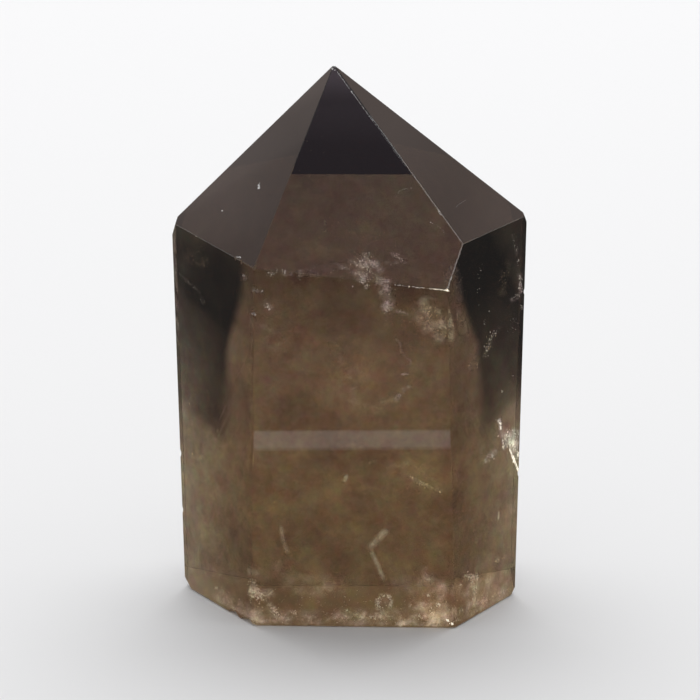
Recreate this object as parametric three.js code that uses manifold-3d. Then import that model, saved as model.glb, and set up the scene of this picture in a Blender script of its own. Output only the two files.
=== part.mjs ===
// Smoky quartz crystal: one natural six-sided crystal, cut flat at its foot and polished as a standing point.
// Millimetres, +Z up. It stands on its foot, with its widest prism face towards -Y and its point at the top.

import * as THREE from 'three';
import { ConvexGeometry } from 'three/addons/geometries/ConvexGeometry.js';
import { mergeVertices } from 'three/addons/utils/BufferGeometryUtils.js';
import Module from 'manifold-3d';

const wasm = await Module();
wasm.setup();

// Driving dimensions
const HEIGHT = 75;
const POINT_WEAR = 0.25;
const POINT = new THREE.Vector3(-2.1, 0, HEIGHT + POINT_WEAR);

// Prism faces. Azimuth 0 faces -Y and 90 faces +X, reach is the distance from the axis at the foot, and lean
// is how far the face tips outward on its way up, because the crystal narrows a little towards its foot.
const PRISM = {
  front: { azimuth: -1.85, reach: 12.8, lean: 2.31 },
  frontRight: { azimuth: 56.32, reach: 19.21, lean: -0.09 },
  backRight: { azimuth: 118, reach: 19.66, lean: 2.03 },
  back: { azimuth: 180, reach: 13.35, lean: 0.29 },
  backLeft: { azimuth: -118, reach: 20.99, lean: 1.65 },
  frontLeft: { azimuth: -56.92, reach: 17.78, lean: 0.75 },
};

// Faces of the point. They meet at its tip, and slope is measured from level.
const PYRAMID = {
  topFront: { azimuth: 1.89, slope: 59.13 },
  topFrontRight: { azimuth: 57.43, slope: 45.29 },
  topBackRight: { azimuth: 120, slope: 42.89 },
  topBack: { azimuth: 180, slope: 57.69 },
  topBackLeft: { azimuth: -120, slope: 48.38 },
  topFrontLeft: { azimuth: -55.54, slope: 54.5 },
};

// Polished edges: the width of the narrow flat along each, wider where the wheel stayed longer.
const EDGE_FLAT = 0.05;
const WIDE_EDGES = {
  'topFront+topFrontRight': 0.13,
  'topFront+frontRight': 0.2,
  'topFront+topFrontLeft': 0.1,
  'topFront+front': 0.18,
  'topFrontLeft+frontLeft': 0.1,
  'topFrontRight+frontRight': 0.12,
  'frontRight+front': 0.08,
  'frontLeft+front': 0.15,
  'front+foot': 0.3,
  'frontLeft+foot': 0.25,
  'frontRight+foot': 0.25,
};

// Worn corners: the faces that meet there, each with its share in the worn flat's direction, and how deep it goes.
const WORN_CORNERS = [
  { faces: { topFrontLeft: 0.5, frontLeft: 0.7, backLeft: 1.35, topBackLeft: 0.8 }, depth: 0.55 },
  { faces: { topFrontRight: 0.5, frontRight: 0.7, backRight: 1.4, topBackRight: 0.9 }, depth: 0.35 },
  { faces: { topFront: 1, topFrontLeft: 1, frontLeft: 1.2, front: 0.8 }, depth: 0.14 },
  { faces: { frontLeft: 1, backLeft: 1, foot: 1.1 }, depth: 0.75 },
  { faces: { frontRight: 1, backRight: 1, foot: 1 }, depth: 0.5 },
];

// Chips along the edges of the foot: the middle of each on the edge, half its length along the edge, how far it
// rises above the foot, and its turn about Z.
const CHIPS = [
  { at: [-15.8, -8.4], half: 1.45, rise: 0.72, turn: -57 },
  { at: [-13.9, -11.3], half: 1.7, rise: 0.78, turn: -57 },
  { at: [-19.6, -2.7], half: 0.8, rise: 0.2, turn: -57 },
  { at: [-17.6, -5.6], half: 0.6, rise: 0.16, turn: -57 },
  { at: [14.0, -13.1], half: 0.7, rise: 0.24, turn: -3 },
  { at: [17.4, -8.5], half: 0.8, rise: 0.2, turn: 56 },
  { at: [20.4, -4.1], half: 0.7, rise: 0.16, turn: 56 },
  { at: [-5.6, -12.7], half: 0.9, rise: 0.16, turn: -3 },
  { at: [3.1, -12.9], half: 0.7, rise: 0.13, turn: -3 },
];

// Nicks: small bites out of the upright and sloping edges.
const NICKS = [
  { at: [-23.22, 2.5, 19.4], radius: 0.42 },
  { at: [-23.02, 2.38, 11.2], radius: 0.36 },
  { at: [-15.2, -10.75, 51.75], radius: 0.26 },
  { at: [-14.4, -11.95, 51.7], radius: 0.3 },
  { at: [-12.75, -14.5, 48.9], radius: 0.36 },
  { at: [-12.75, -14.35, 45.3], radius: 0.34 },
  { at: [23.7, 0.85, 43.2], radius: 0.34 },
  { at: [23.1, -0.1, 17.4], radius: 0.36 },
];

// One flat side of the stone: what lies behind it is kept.
function side(normal, through) {
  const unit = normal.clone().normalize();
  return { normal: unit, offset: unit.dot(through) };
}

// Direction that a face looks in: its azimuth round the stone, and how far it looks upward, in degrees.
function facing(azimuth, upward) {
  const round = THREE.MathUtils.degToRad(azimuth);
  const up = THREE.MathUtils.degToRad(upward);
  return new THREE.Vector3(Math.sin(round) * Math.cos(up), -Math.cos(round) * Math.cos(up), Math.sin(up));
}

// The twelve crystal faces and the sawn foot, by name.
function crystalFaces() {
  const faces = { foot: side(new THREE.Vector3(0, 0, -1), new THREE.Vector3()) };
  for (const [name, { azimuth, reach, lean }] of Object.entries(PRISM)) {
    faces[name] = side(facing(azimuth, -lean), facing(azimuth, 0).multiplyScalar(reach));
  }
  for (const [name, { azimuth, slope }] of Object.entries(PYRAMID)) {
    faces[name] = side(facing(azimuth, 90 - slope), POINT);
  }
  return faces;
}

// Point where three flat sides meet, or null where they don't meet in one point.
function meeting(a, b, c) {
  const bc = new THREE.Vector3().crossVectors(b.normal, c.normal);
  const volume = a.normal.dot(bc);
  if (Math.abs(volume) < 1e-7) return null;
  const ca = new THREE.Vector3().crossVectors(c.normal, a.normal);
  const ab = new THREE.Vector3().crossVectors(a.normal, b.normal);
  return bc.multiplyScalar(a.offset).addScaledVector(ca, b.offset).addScaledVector(ab, c.offset)
    .divideScalar(volume);
}

// Corners of the solid that lies behind all the given sides.
function cornersOf(sides) {
  const slack = 1e-6;
  const corners = [];
  for (let i = 0; i < sides.length; i += 1) {
    for (let j = i + 1; j < sides.length; j += 1) {
      for (let k = j + 1; k < sides.length; k += 1) {
        const corner = meeting(sides[i], sides[j], sides[k]);
        if (!corner || sides.some((s) => s.normal.dot(corner) > s.offset + slack)) continue;
        if (!corners.some((known) => known.distanceTo(corner) < 1e-4)) corners.push(corner);
      }
    }
  }
  return corners;
}

// Narrow polished flats along every edge where two faces meet.
function edgeFlats(faces) {
  const corners = cornersOf(Object.values(faces));
  const names = Object.keys(faces);
  const flats = [];
  for (const first of names) {
    for (const second of names.slice(names.indexOf(first) + 1)) {
      const a = faces[first];
      const b = faces[second];
      const on = corners.filter((p) => [a, b].every((s) => Math.abs(s.normal.dot(p) - s.offset) < 1e-5));
      if (on.length < 2) continue;
      const width = WIDE_EDGES[`${first}+${second}`] ?? WIDE_EDGES[`${second}+${first}`] ?? EDGE_FLAT;
      const flat = side(a.normal.clone().add(b.normal), on[0]);
      flat.offset -= (width / 2) * Math.tan(a.normal.angleTo(b.normal) / 2);
      flats.push(flat);
    }
  }
  return flats;
}

// Small flats where the corners are worn, and the blunt tip of the point.
function cornerFlats(faces) {
  const corners = cornersOf(Object.values(faces));
  const flats = WORN_CORNERS.map(({ faces: shares, depth }) => {
    const towards = new THREE.Vector3();
    for (const [name, share] of Object.entries(shares)) towards.addScaledVector(faces[name].normal, share);
    towards.normalize();
    const reach = Math.max(...corners.map((corner) => towards.dot(corner)));
    return { normal: towards, offset: reach - depth };
  });
  flats.push(side(new THREE.Vector3(0.15, -0.2, 1), POINT.clone().setZ(HEIGHT)));
  return flats;
}

// Closed mesh with shared corners, as a solid for joining and cutting.
function solidFrom(geometry) {
  geometry.deleteAttribute('normal');
  geometry.deleteAttribute('uv');
  const merged = mergeVertices(geometry, 1e-5);
  return new wasm.Manifold(new wasm.Mesh({
    numProp: 3,
    vertProperties: new Float32Array(merged.attributes.position.array),
    triVerts: new Uint32Array(merged.index.array),
  }));
}

// Rounded body whose surface has the shell-like ripples of broken quartz, to bite a chip out of an edge.
function bite(at, radii, turn, detail) {
  const ripple = 0.02;
  const rings = 9;
  const ball = new THREE.IcosahedronGeometry(1, detail).deleteAttribute('normal').deleteAttribute('uv');
  const lump = mergeVertices(ball);
  const places = lump.attributes.position;
  const p = new THREE.Vector3();
  for (let i = 0; i < places.count; i += 1) {
    p.fromBufferAttribute(places, i);
    const shell = Math.sin(rings * Math.acos(THREE.MathUtils.clamp(p.x, -1, 1)) + 2 * p.z);
    const lobes = Math.sin(4 * p.y + 2 * at[0]) * Math.sin(5 * p.x + at[1]);
    p.multiplyScalar(1 + ripple * (shell + 1.5 * lobes));
    places.setXYZ(i, p.x, p.y, p.z);
  }
  lump.scale(...radii).rotateZ(THREE.MathUtils.degToRad(turn)).translate(...at);
  return solidFrom(lump);
}

// A shallow chip on the foot's edge: the cap of a large flattened ball that reaches up from below the foot.
function chip({ at, half, rise, turn }) {
  const radius = (half ** 2 + rise ** 2) / (2 * rise);
  return bite([...at, rise - radius], [radius, radius * 0.7, radius], turn, 5);
}

// A nick in an upright or sloping edge.
function nick({ at, radius }) {
  return bite(at, [radius, radius, radius * 1.4], 0, 1);
}

// The whole stone: faces, edge flats and worn corners as one convex body, less its chips and nicks.
function crystalGeometry() {
  const faces = crystalFaces();
  const sides = [...Object.values(faces), ...edgeFlats(faces), ...cornerFlats(faces)];
  let stone = solidFrom(new ConvexGeometry(cornersOf(sides)));
  for (const piece of [...CHIPS.map(chip), ...NICKS.map(nick)]) stone = stone.subtract(piece);
  const { vertProperties, triVerts } = stone.getMesh();
  const geometry = new THREE.BufferGeometry();
  geometry.setAttribute('position', new THREE.BufferAttribute(new Float32Array(vertProperties), 3));
  geometry.setIndex(new THREE.BufferAttribute(new Uint32Array(triVerts), 1));
  return centredOnFoot(geometry);
}

// The origin is under the middle of the stone's bounding box, at the height of its foot.
function centredOnFoot(geometry) {
  geometry.computeBoundingBox();
  const middle = geometry.boundingBox.getCenter(new THREE.Vector3());
  geometry.translate(-middle.x, -middle.y, -geometry.boundingBox.min.z);
  return geometry;
}

const smokyQuartz = new THREE.MeshStandardMaterial({ color: 0x6b5641, roughness: 0.04, metalness: 0 });

const crystal = new THREE.Mesh(crystalGeometry(), smokyQuartz);
crystal.name = 'crystal';

const part = new THREE.Group();
part.name = 'smoky_quartz_crystal';
part.add(crystal);

export default part;
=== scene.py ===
"""Dressed model of a polished smoky quartz crystal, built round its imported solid.

Metres, +Z up. The widest prism face looks towards -Y, and the stone stands on its sawn foot.
"""

import logging
import math
import random
from dataclasses import dataclass, field
from enum import Enum
from typing import ClassVar

import bmesh
import bpy
from mathutils import Matrix, Vector, noise
from mathutils.bvhtree import BVHTree


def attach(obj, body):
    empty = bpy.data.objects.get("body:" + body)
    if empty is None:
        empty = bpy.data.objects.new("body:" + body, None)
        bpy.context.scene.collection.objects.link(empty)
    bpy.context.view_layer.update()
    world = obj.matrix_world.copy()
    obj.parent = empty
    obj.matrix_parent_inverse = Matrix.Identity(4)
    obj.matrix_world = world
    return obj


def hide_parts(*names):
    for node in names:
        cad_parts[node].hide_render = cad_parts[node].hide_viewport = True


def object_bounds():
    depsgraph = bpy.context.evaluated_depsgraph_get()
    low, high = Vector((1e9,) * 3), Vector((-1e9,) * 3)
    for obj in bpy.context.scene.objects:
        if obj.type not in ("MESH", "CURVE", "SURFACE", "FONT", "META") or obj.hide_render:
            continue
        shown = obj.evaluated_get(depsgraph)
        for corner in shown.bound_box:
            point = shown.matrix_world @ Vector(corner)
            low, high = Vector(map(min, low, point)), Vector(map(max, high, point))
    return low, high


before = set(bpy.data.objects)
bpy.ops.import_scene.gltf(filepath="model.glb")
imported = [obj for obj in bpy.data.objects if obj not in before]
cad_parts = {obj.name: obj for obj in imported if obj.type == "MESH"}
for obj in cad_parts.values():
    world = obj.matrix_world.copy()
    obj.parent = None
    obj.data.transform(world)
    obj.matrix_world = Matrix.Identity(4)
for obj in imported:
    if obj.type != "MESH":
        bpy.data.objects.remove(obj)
CAD_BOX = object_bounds()
log = logging.getLogger("smoky_quartz")

MM = 0.001
QUARTZ_IOR = 1.544
NODE = "crystal"
STONE_MIDDLE = Vector((0, 0, 40 * MM))
# How far the small lamps hang from the stone.
LAMP_AWAY = 0.6
# Column and row in the photograph.
Pixel = tuple[float, float]


def linear(code: str, alpha: float = 1.0) -> tuple[float, float, float, float]:
    """Turns an sRGB hex value into a linear colour.

    Args:
        code: Six hex digits, red first.
        alpha: Fourth value of the colour.

    Returns:
        Linear red, green, blue and alpha.
    """
    parts = [int(code[i : i + 2], 16) / 255 for i in (0, 2, 4)]
    values = [p / 12.92 if p <= 0.04045 else ((p + 0.055) / 1.055) ** 2.4 for p in parts]
    return (*values, alpha)


def add_node(
    tree: bpy.types.NodeTree, kind: str, settings: dict | None = None, links: dict | None = None
) -> bpy.types.Node:
    """Adds a shader node with its settings and its incoming links.

    Args:
        tree: Node tree that gets the node.
        kind: Blender's name for the kind of node.
        settings: Value for each attribute or input socket, by name or socket number.
        links: Output socket for each input socket, by name or socket number.

    Returns:
        The new node.
    """
    node = tree.nodes.new(kind)
    for name, value in (settings or {}).items():
        if isinstance(name, int) or name in node.inputs:
            node.inputs[name].default_value = value
        else:
            setattr(node, name, value)
    for name, source in (links or {}).items():
        tree.links.new(source, node.inputs[name])
    return node


def set_stops(ramp: bpy.types.Node, stops: list[tuple[float, tuple]]) -> None:
    """Gives a colour ramp its stops.

    Args:
        ramp: The colour ramp node.
        stops: Place from 0 to 1 and colour of each stop, in order.
    """
    elements = ramp.color_ramp.elements
    while len(elements) < len(stops):
        elements.new(0.5)
    for element, (place, colour) in zip(elements, stops):
        element.position = place
    for element, (place, colour) in zip(elements, stops):
        element.position, element.color = place, colour


def new_material(name: str) -> tuple[bpy.types.Material, bpy.types.NodeTree, bpy.types.Node]:
    """Makes a material with an empty tree.

    Args:
        name: Name of the material.

    Returns:
        The material, its tree and its output node.
    """
    material = bpy.data.materials.new(name)
    material.use_nodes = True
    material.node_tree.nodes.clear()
    output = add_node(material.node_tree, "ShaderNodeOutputMaterial")
    return material, material.node_tree, output


def object_from(bm: bmesh.types.BMesh, name: str) -> bpy.types.Object:
    """Turns a finished bmesh into an object at the origin.

    Args:
        bm: The mesh, which is freed.
        name: Name of the object.

    Returns:
        The new object, linked to the scene.
    """
    mesh = bpy.data.meshes.new(name)
    bm.to_mesh(mesh)
    bm.free()
    made = bpy.data.objects.new(name, mesh)
    bpy.context.scene.collection.objects.link(made)
    return made


class CrystalFace(Enum):
    """Kinds of surface on the stone."""

    PRISM = "prism"
    MAJOR_POINT = "major point"
    MINOR_POINT = "minor point"
    FOOT = "foot"
    EDGE = "edge"
    CORNER = "corner"
    CHIP = "chip"


# Finishes


@dataclass(frozen=True)
class SmokyQuartz:
    """Natural smoky quartz, polished on a wheel: clear brown, which is cooler and darker towards the point.

    The colour comes from what the stone takes out of the light on its way, so thick parts look darker, and
    from a tint of its skin, which darkens with height and is clouded at random. The colour comes from what
    the stone takes out of the light on its way, so thick parts look darker, and from a tint of its skin,
    which stands in for the zones and clouds inside. The skin also holds painted shade on the minor faces of
    the point, and broad patches that are partly its own colour and partly painted light and shade.
    """

    # What the stone absorbs per metre of its inside, for red, green and blue.
    absorbed: tuple[float, float, float] = (45.0, 62.8, 83.0)
    # What the skin lets through, by height: warmer at the foot, cooler and darker towards the point.
    height: float = 75 * MM
    zones: tuple[tuple[float, str], ...] = (
        (0.0, "BCBCAE"),
        (20 * MM, "BCBCAE"),
        (34 * MM, "BCBCBC"),
        (44 * MM, "97989B"),
        (50 * MM, "828281"),
        (56 * MM, "75736F"),
        (64 * MM, "66635F"),
    )
    # Painted shade: the skin of the minor faces of the point lets through far less light, for the darker
    # surroundings that these faces look into.
    minor_face_shade: tuple[float, float, float, float] = (0.03, 0.022, 0.02, 1.0)
    # Clouds in the colour: reddish where it is smokier, olive where it is clearer.
    cloud_size: float = 5 * MM
    clouds: tuple[tuple[float, tuple], ...] = (
        (0.36, (0.70, 0.60, 0.62, 1.0)),
        (0.46, (0.96, 0.87, 0.88, 1.0)),
        (0.54, (1.00, 1.04, 1.00, 1.0)),
        (0.64, (1.30, 1.36, 1.22, 1.0)),
    )
    # Flecks in the clouds, whose colour wanders a little between red and green.
    fleck_size: float = 1.5 * MM
    flecks: tuple[tuple[float, float, float], ...] = ((0.86, 0.86, 0.84), (1.14, 1.14, 1.16))
    bloom_ragged: float = 4 * MM
    # Roughness of the polished faces, and of ground and broken places.
    polish: float = 0.015
    ground_roughness: float = 0.4
    # The volume's density against the strongest absorption, which keeps its colour within range.
    headroom: float = 1.25

    def material(self, tone_and_light_patches: list[tuple[Vector, float, float]]) -> bpy.types.Material:
        """Builds the material.

        Args:
            tone_and_light_patches: Middle, radius and share of light of each broad patch, partly the stone's
                patchy colour and partly painted light and shade.
        """
        material, tree, output = new_material("polished_smoky_quartz")
        place = add_node(tree, "ShaderNodeTexCoord").outputs["Object"]
        height = add_node(tree, "ShaderNodeSeparateXYZ", links={0: place}).outputs["Z"]
        share = add_node(
            tree, "ShaderNodeMath", {"operation": "DIVIDE", 1: self.height}, {0: height}
        ).outputs[0]
        zone = add_node(tree, "ShaderNodeValToRGB", links={0: share})
        set_stops(zone, [(z / self.height, linear(code)) for z, code in self.zones])
        cloud = add_node(
            tree,
            "ShaderNodeTexNoise",
            {"Scale": 1 / self.cloud_size, "Detail": 6.0, "Roughness": 0.68},
            {"Vector": place},
        ).outputs["Fac"]
        mottle = add_node(tree, "ShaderNodeValToRGB", links={0: cloud})
        set_stops(mottle, list(self.clouds))
        flecks = add_node(
            tree,
            "ShaderNodeTexNoise",
            {"Scale": 1 / self.fleck_size, "Detail": 3.0, "Roughness": 0.7},
            {"Vector": place},
        ).outputs["Color"]
        dim, bright = self.flecks
        flecks = add_node(
            tree,
            "ShaderNodeMapRange",
            {"data_type": "FLOAT_VECTOR", 7: (0.3,) * 3, 8: (0.7,) * 3, 9: dim, 10: bright},
            {6: flecks},
        ).outputs[1]
        mottle = add_node(
            tree, "ShaderNodeVectorMath", {"operation": "MULTIPLY"}, {0: mottle.outputs[0], 1: flecks}
        ).outputs[0]
        # Painted shade on the minor faces of the point.
        shaded_minor_face = add_node(tree, "ShaderNodeAttribute", {"attribute_name": "shaded_minor_face"}).outputs["Fac"]
        painted_minor_shade = add_node(tree, "ShaderNodeValToRGB", links={0: shaded_minor_face})
        set_stops(painted_minor_shade, [(0.0, (1.0, 1.0, 1.0, 1.0)), (1.0, self.minor_face_shade)])
        tint = add_node(
            tree, "ShaderNodeVectorMath", {"operation": "MULTIPLY"}, {0: zone.outputs[0], 1: painted_minor_shade.outputs[0]}
        ).outputs[0]
        tint = add_node(
            tree, "ShaderNodeVectorMath", {"operation": "MULTIPLY"}, {0: tint, 1: mottle}
        ).outputs[0]
        wander = add_node(
            tree, "ShaderNodeTexNoise", {"Scale": 1 / self.bloom_ragged, "Detail": 3.0}, {"Vector": place}
        ).outputs["Color"]
        wander = add_node(
            tree,
            "ShaderNodeVectorMath",
            {"operation": "MULTIPLY_ADD", 1: (self.bloom_ragged,) * 3},
            {0: wander, 2: place},
        ).outputs[0]
        # Broad patches of the skin tint: partly the stone's patchy colour, partly painted light and shade.
        for middle, radius, light in tone_and_light_patches:
            off = middle + Vector((self.bloom_ragged / 2,) * 3)
            far = add_node(
                tree, "ShaderNodeVectorMath", {"operation": "DISTANCE", 1: off}, {0: wander}
            ).outputs["Value"]
            share = add_node(
                tree,
                "ShaderNodeMapRange",
                {"interpolation_type": "SMOOTHSTEP", 1: radius, 2: radius * 0.15, 3: 1.0, 4: light},
                {0: far},
            ).outputs[0]
            tint = add_node(
                tree, "ShaderNodeVectorMath", {"operation": "SCALE"}, {0: tint, "Scale": share}
            ).outputs[0]
        ground = add_node(tree, "ShaderNodeAttribute", {"attribute_name": "ground"}).outputs["Fac"]
        rough = add_node(
            tree, "ShaderNodeMapRange", {3: self.polish, 4: self.ground_roughness}, {0: ground}
        ).outputs[0]
        surface = add_node(
            tree,
            "ShaderNodeBsdfPrincipled",
            {"IOR": QUARTZ_IOR, "Transmission Weight": 1.0},
            {"Base Color": tint, "Roughness": rough},
        ).outputs[0]
        density = max(self.absorbed) * self.headroom
        passes = [1 - a / density for a in self.absorbed]
        inside = add_node(
            tree, "ShaderNodeVolumeAbsorption", {"Color": (*passes, 1.0), "Density": density}
        ).outputs[0]
        tree.links.new(surface, output.inputs["Surface"])
        tree.links.new(inside, output.inputs["Volume"])
        return material


@dataclass(frozen=True)
class CardFinish:
    """Studio card that gives off its own light.

    The light has one value, or values that change along the card's height and depth.
    """

    name: str
    glow: float = 1.0
    # Place along the axis and share of the glow, upward and away from the camera.
    by_height: tuple[tuple[float, float], ...] = ()
    by_depth: tuple[tuple[float, float], ...] = ()
    # Whether it lets through what lies behind it where its "fade" is less than 1.
    soft: bool = False
    tint: str = "FFFFFF"

    def material(self) -> bpy.types.Material:
        """Builds the material."""
        material, tree, output = new_material(self.name)
        value = add_node(tree, "ShaderNodeValue").outputs[0]
        value.default_value = self.glow
        place = add_node(tree, "ShaderNodeTexCoord").outputs["Object"]
        axes = add_node(tree, "ShaderNodeSeparateXYZ", links={0: place}).outputs
        for axis, stops in (("Z", self.by_height), ("Y", self.by_depth)):
            if stops:
                first, last = stops[0][0], stops[-1][0]
                along = add_node(tree, "ShaderNodeMapRange", {1: first, 2: last}, {0: axes[axis]}).outputs[0]
                ramp = add_node(tree, "ShaderNodeValToRGB", links={0: along})
                set_stops(ramp, [((p - first) / (last - first), (v, v, v, 1.0)) for p, v in stops])
                value = add_node(
                    tree, "ShaderNodeMath", {"operation": "MULTIPLY"}, {0: value, 1: ramp.outputs[0]}
                ).outputs[0]
        glow = add_node(
            tree, "ShaderNodeEmission", {"Color": linear(self.tint)}, {"Strength": value}
        ).outputs[0]
        if self.soft:
            fade = add_node(tree, "ShaderNodeAttribute", {"attribute_name": "fade"}).outputs["Fac"]
            clear = add_node(tree, "ShaderNodeBsdfTransparent").outputs[0]
            glow = add_node(tree, "ShaderNodeMixShader", links={0: fade, 1: clear, 2: glow}).outputs[0]
        tree.links.new(glow, output.inputs["Surface"])
        return material


@dataclass(frozen=True)
class FloorPaint:
    """Matt pale studio floor."""

    colour: str = "E6E6E7"
    roughness: float = 0.9
    sheen: float = 0.1

    def material(self) -> bpy.types.Material:
        """Builds the material."""
        material, tree, output = new_material("pale_floor_paint")
        surface = add_node(
            tree,
            "ShaderNodeBsdfPrincipled",
            {
                "Base Color": linear(self.colour),
                "Roughness": self.roughness,
                "Specular IOR Level": self.sheen,
            },
        ).outputs[0]
        tree.links.new(surface, output.inputs["Surface"])
        return material


# The camera, and the way that its rays take into the stone


@dataclass
class PhotoCamera:
    """Camera at the photograph's viewing angle."""

    position: Vector = field(default_factory=lambda: Vector((0.11, -706.41, 283.57)) * MM)
    down: float = math.radians(19.356)
    frame_pixels: int = 700
    focal_pixels: float = 5550.63
    sensor: float = 36.0

    def make(self) -> bpy.types.Object:
        """Makes the camera and gives it to the scene."""
        data = bpy.data.cameras.new("photo_camera")
        data.sensor_width = self.sensor
        data.lens = self.focal_pixels / self.frame_pixels * self.sensor
        data.clip_start, data.clip_end = 0.01, 20.0
        camera = bpy.data.objects.new("photo_camera", data)
        camera.location = self.position
        camera.rotation_euler = (math.pi / 2 - self.down, 0, 0)
        bpy.context.scene.collection.objects.link(camera)
        bpy.context.scene.camera = camera
        return camera

    def towards(self, pixel: Pixel) -> Vector:
        """Finds the direction that a pixel of the photograph looks in.

        Args:
            pixel: Column and row in the photograph.

        Returns:
            Unit direction away from the camera.
        """
        middle = self.frame_pixels / 2
        ahead = Vector((0, math.cos(self.down), -math.sin(self.down)))
        upward = Vector((0, math.sin(self.down), math.cos(self.down)))
        across = Vector((1, 0, 0))
        x, y = (pixel[0] - middle) / self.focal_pixels, (pixel[1] - middle) / self.focal_pixels
        return (ahead + across * x - upward * y).normalized()


# The stone


@dataclass(frozen=True)
class Patch:
    """Broad patch of the stone's own patchy colour and of painted light and shade, by the pixel of the
    photograph that its middle shows at.
    """

    middle: Pixel
    # In mm.
    radius: float
    # Light that gets through in its middle, against the stone round it.
    light: float


@dataclass
class Stone:
    """The crystal itself: six prism faces, six faces of the point, the sawn foot, and its chips and edges."""

    name: str = "smoky_quartz_crystal"
    # A crystal face is larger than the first, and a facet of a chip smaller than the second.
    face_area: float = 35 * MM * MM
    flat_area: float = 0.9 * MM * MM
    # How close two normals are for one face, for a facet of it, and for an edge's flat.
    same_face: float = math.radians(1)
    same_facet: float = math.radians(0.4)
    same_edge: float = math.radians(0.6)
    # Edges that look further to the back than this are ground and not polished.
    worn_away_from: float = -0.25
    foot_grind: float = 0.3
    # Broad patches of the skin tint: partly the stone's patchy colour, partly painted light and shade.
    patches: tuple[Patch, ...] = (
        Patch(middle=(350, 385), radius=5.5, light=1.4),
        Patch(middle=(382, 364), radius=4.5, light=1.45),
        Patch(middle=(300, 345), radius=4.5, light=1.3),
        Patch(middle=(430, 320), radius=4.0, light=1.5),
        Patch(middle=(385, 301), radius=3.2, light=1.48),
        Patch(middle=(368, 270), radius=3.6, light=1.3),
        Patch(middle=(412, 474), radius=4.5, light=1.35),
        Patch(middle=(268, 312), radius=2.4, light=1.3),
        Patch(middle=(438, 600), radius=5.0, light=1.85),
        Patch(middle=(322, 582), radius=3.4, light=1.3),
        Patch(middle=(408, 575), radius=4.0, light=1.25),
        Patch(middle=(298, 408), radius=4.6, light=0.58),
        Patch(middle=(322, 462), radius=4.0, light=0.74),
        Patch(middle=(368, 460), radius=3.4, light=0.8),
        Patch(middle=(308, 538), radius=5.0, light=0.8),
        Patch(middle=(345, 560), radius=4.0, light=0.8),
        Patch(middle=(432, 398), radius=3.2, light=0.8),
        Patch(middle=(335, 312), radius=3.4, light=0.76),
        Patch(middle=(402, 292), radius=3.0, light=0.8),
        Patch(middle=(285, 590), radius=3.6, light=0.82),
        Patch(middle=(190, 300), radius=1.9, light=0.6),
        Patch(middle=(241, 386), radius=4.4, light=0.66),
        Patch(middle=(247, 322), radius=2.6, light=1.35),
        Patch(middle=(280, 590), radius=3.0, light=0.78),
        Patch(middle=(244, 448), radius=4.0, light=1.4),
        Patch(middle=(190, 428), radius=7.0, light=0.56),
        Patch(middle=(186, 480), radius=5.0, light=0.84),
        Patch(middle=(234, 548), radius=5.5, light=0.72),
        Patch(middle=(463, 348), radius=4.6, light=0.7),
        Patch(middle=(461, 388), radius=5.0, light=0.66),
        Patch(middle=(462, 426), radius=4.6, light=0.64),
        Patch(middle=(457, 470), radius=4.2, light=1.42),
        Patch(middle=(487, 428), radius=4.6, light=0.58),
        Patch(middle=(475, 545), radius=4.5, light=0.84),
        Patch(middle=(508, 522), radius=6.0, light=1.4),
        Patch(middle=(484, 584), radius=5.0, light=1.4),
        Patch(middle=(508, 440), radius=3.4, light=1.35),
    )
    object: bpy.types.Object | None = None
    tree: BVHTree | None = None

    def tone_and_light_patches(self, camera: PhotoCamera) -> list[tuple[Vector, float, float]]:
        """Finds where the broad patches of patchy colour and of painted light and shade lie on the stone.

        Args:
            camera: The camera that the photograph was taken with.

        Returns:
            Middle, radius and share of light of each.
        """
        found = []
        for patch in self.patches:
            hit, _, _, _ = self.tree.ray_cast(camera.position, camera.towards(patch.middle))
            found.append((hit, patch.radius * MM, patch.light))
        return found

    def build(self, camera: PhotoCamera) -> bpy.types.Object:
        """Builds the stone from its CAD node and marks each kind of surface.

        Args:
            camera: The camera that the photograph was taken with.
        """
        bm = bmesh.new()
        bm.from_mesh(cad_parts[NODE].data)
        bmesh.ops.remove_doubles(bm, verts=bm.verts, dist=0.001 * MM)
        bmesh.ops.dissolve_limit(bm, angle_limit=math.radians(0.2), verts=bm.verts, edges=bm.edges)
        bmesh.ops.recalc_face_normals(bm, faces=bm.faces)
        self.tree = BVHTree.FromBMesh(bm)
        shaded_minor_face = bm.faces.layers.float.new("shaded_minor_face")
        ground = bm.faces.layers.float.new("ground")
        for face, kind in self.kinds(bm).items():
            # Marks the minor faces of the point for their painted shade.
            face[shaded_minor_face] = 1.0 if kind is CrystalFace.MINOR_POINT else 0.0
            away = face.normal.y > self.worn_away_from
            if kind is CrystalFace.CHIP or kind in (CrystalFace.EDGE, CrystalFace.CORNER) and away:
                face[ground] = 1.0
            elif kind is CrystalFace.FOOT:
                face[ground] = self.foot_grind
            face.smooth = False
        self.object = object_from(bm, self.name)
        self.object.data.materials.append(SmokyQuartz().material(self.tone_and_light_patches(camera)))
        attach(self.object, "root")
        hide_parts(NODE)
        return self.object

    def kinds(self, bm: bmesh.types.BMesh) -> dict[bmesh.types.BMFace, CrystalFace]:
        """Sorts the stone's faces by what they are.

        Args:
            bm: The stone's mesh.

        Returns:
            Kind of surface for each face.
        """
        large = [f for f in bm.faces if f.calc_area() > self.face_area]
        normals: list[Vector] = []
        for f in large:
            if all(f.normal.angle(n) > self.same_face for n in normals):
                normals.append(f.normal.copy())
        found = {}
        for f in bm.faces:
            own = [n for n in normals if f.normal.angle(n) < self.same_facet]
            if own:
                found[f] = self.kind_of_large(own[0])
            elif f.calc_area() < self.flat_area and not self.between(f.normal, normals):
                found[f] = CrystalFace.CHIP
            else:
                found[f] = CrystalFace.EDGE if self.between(f.normal, normals) else CrystalFace.CORNER
        return found

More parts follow.
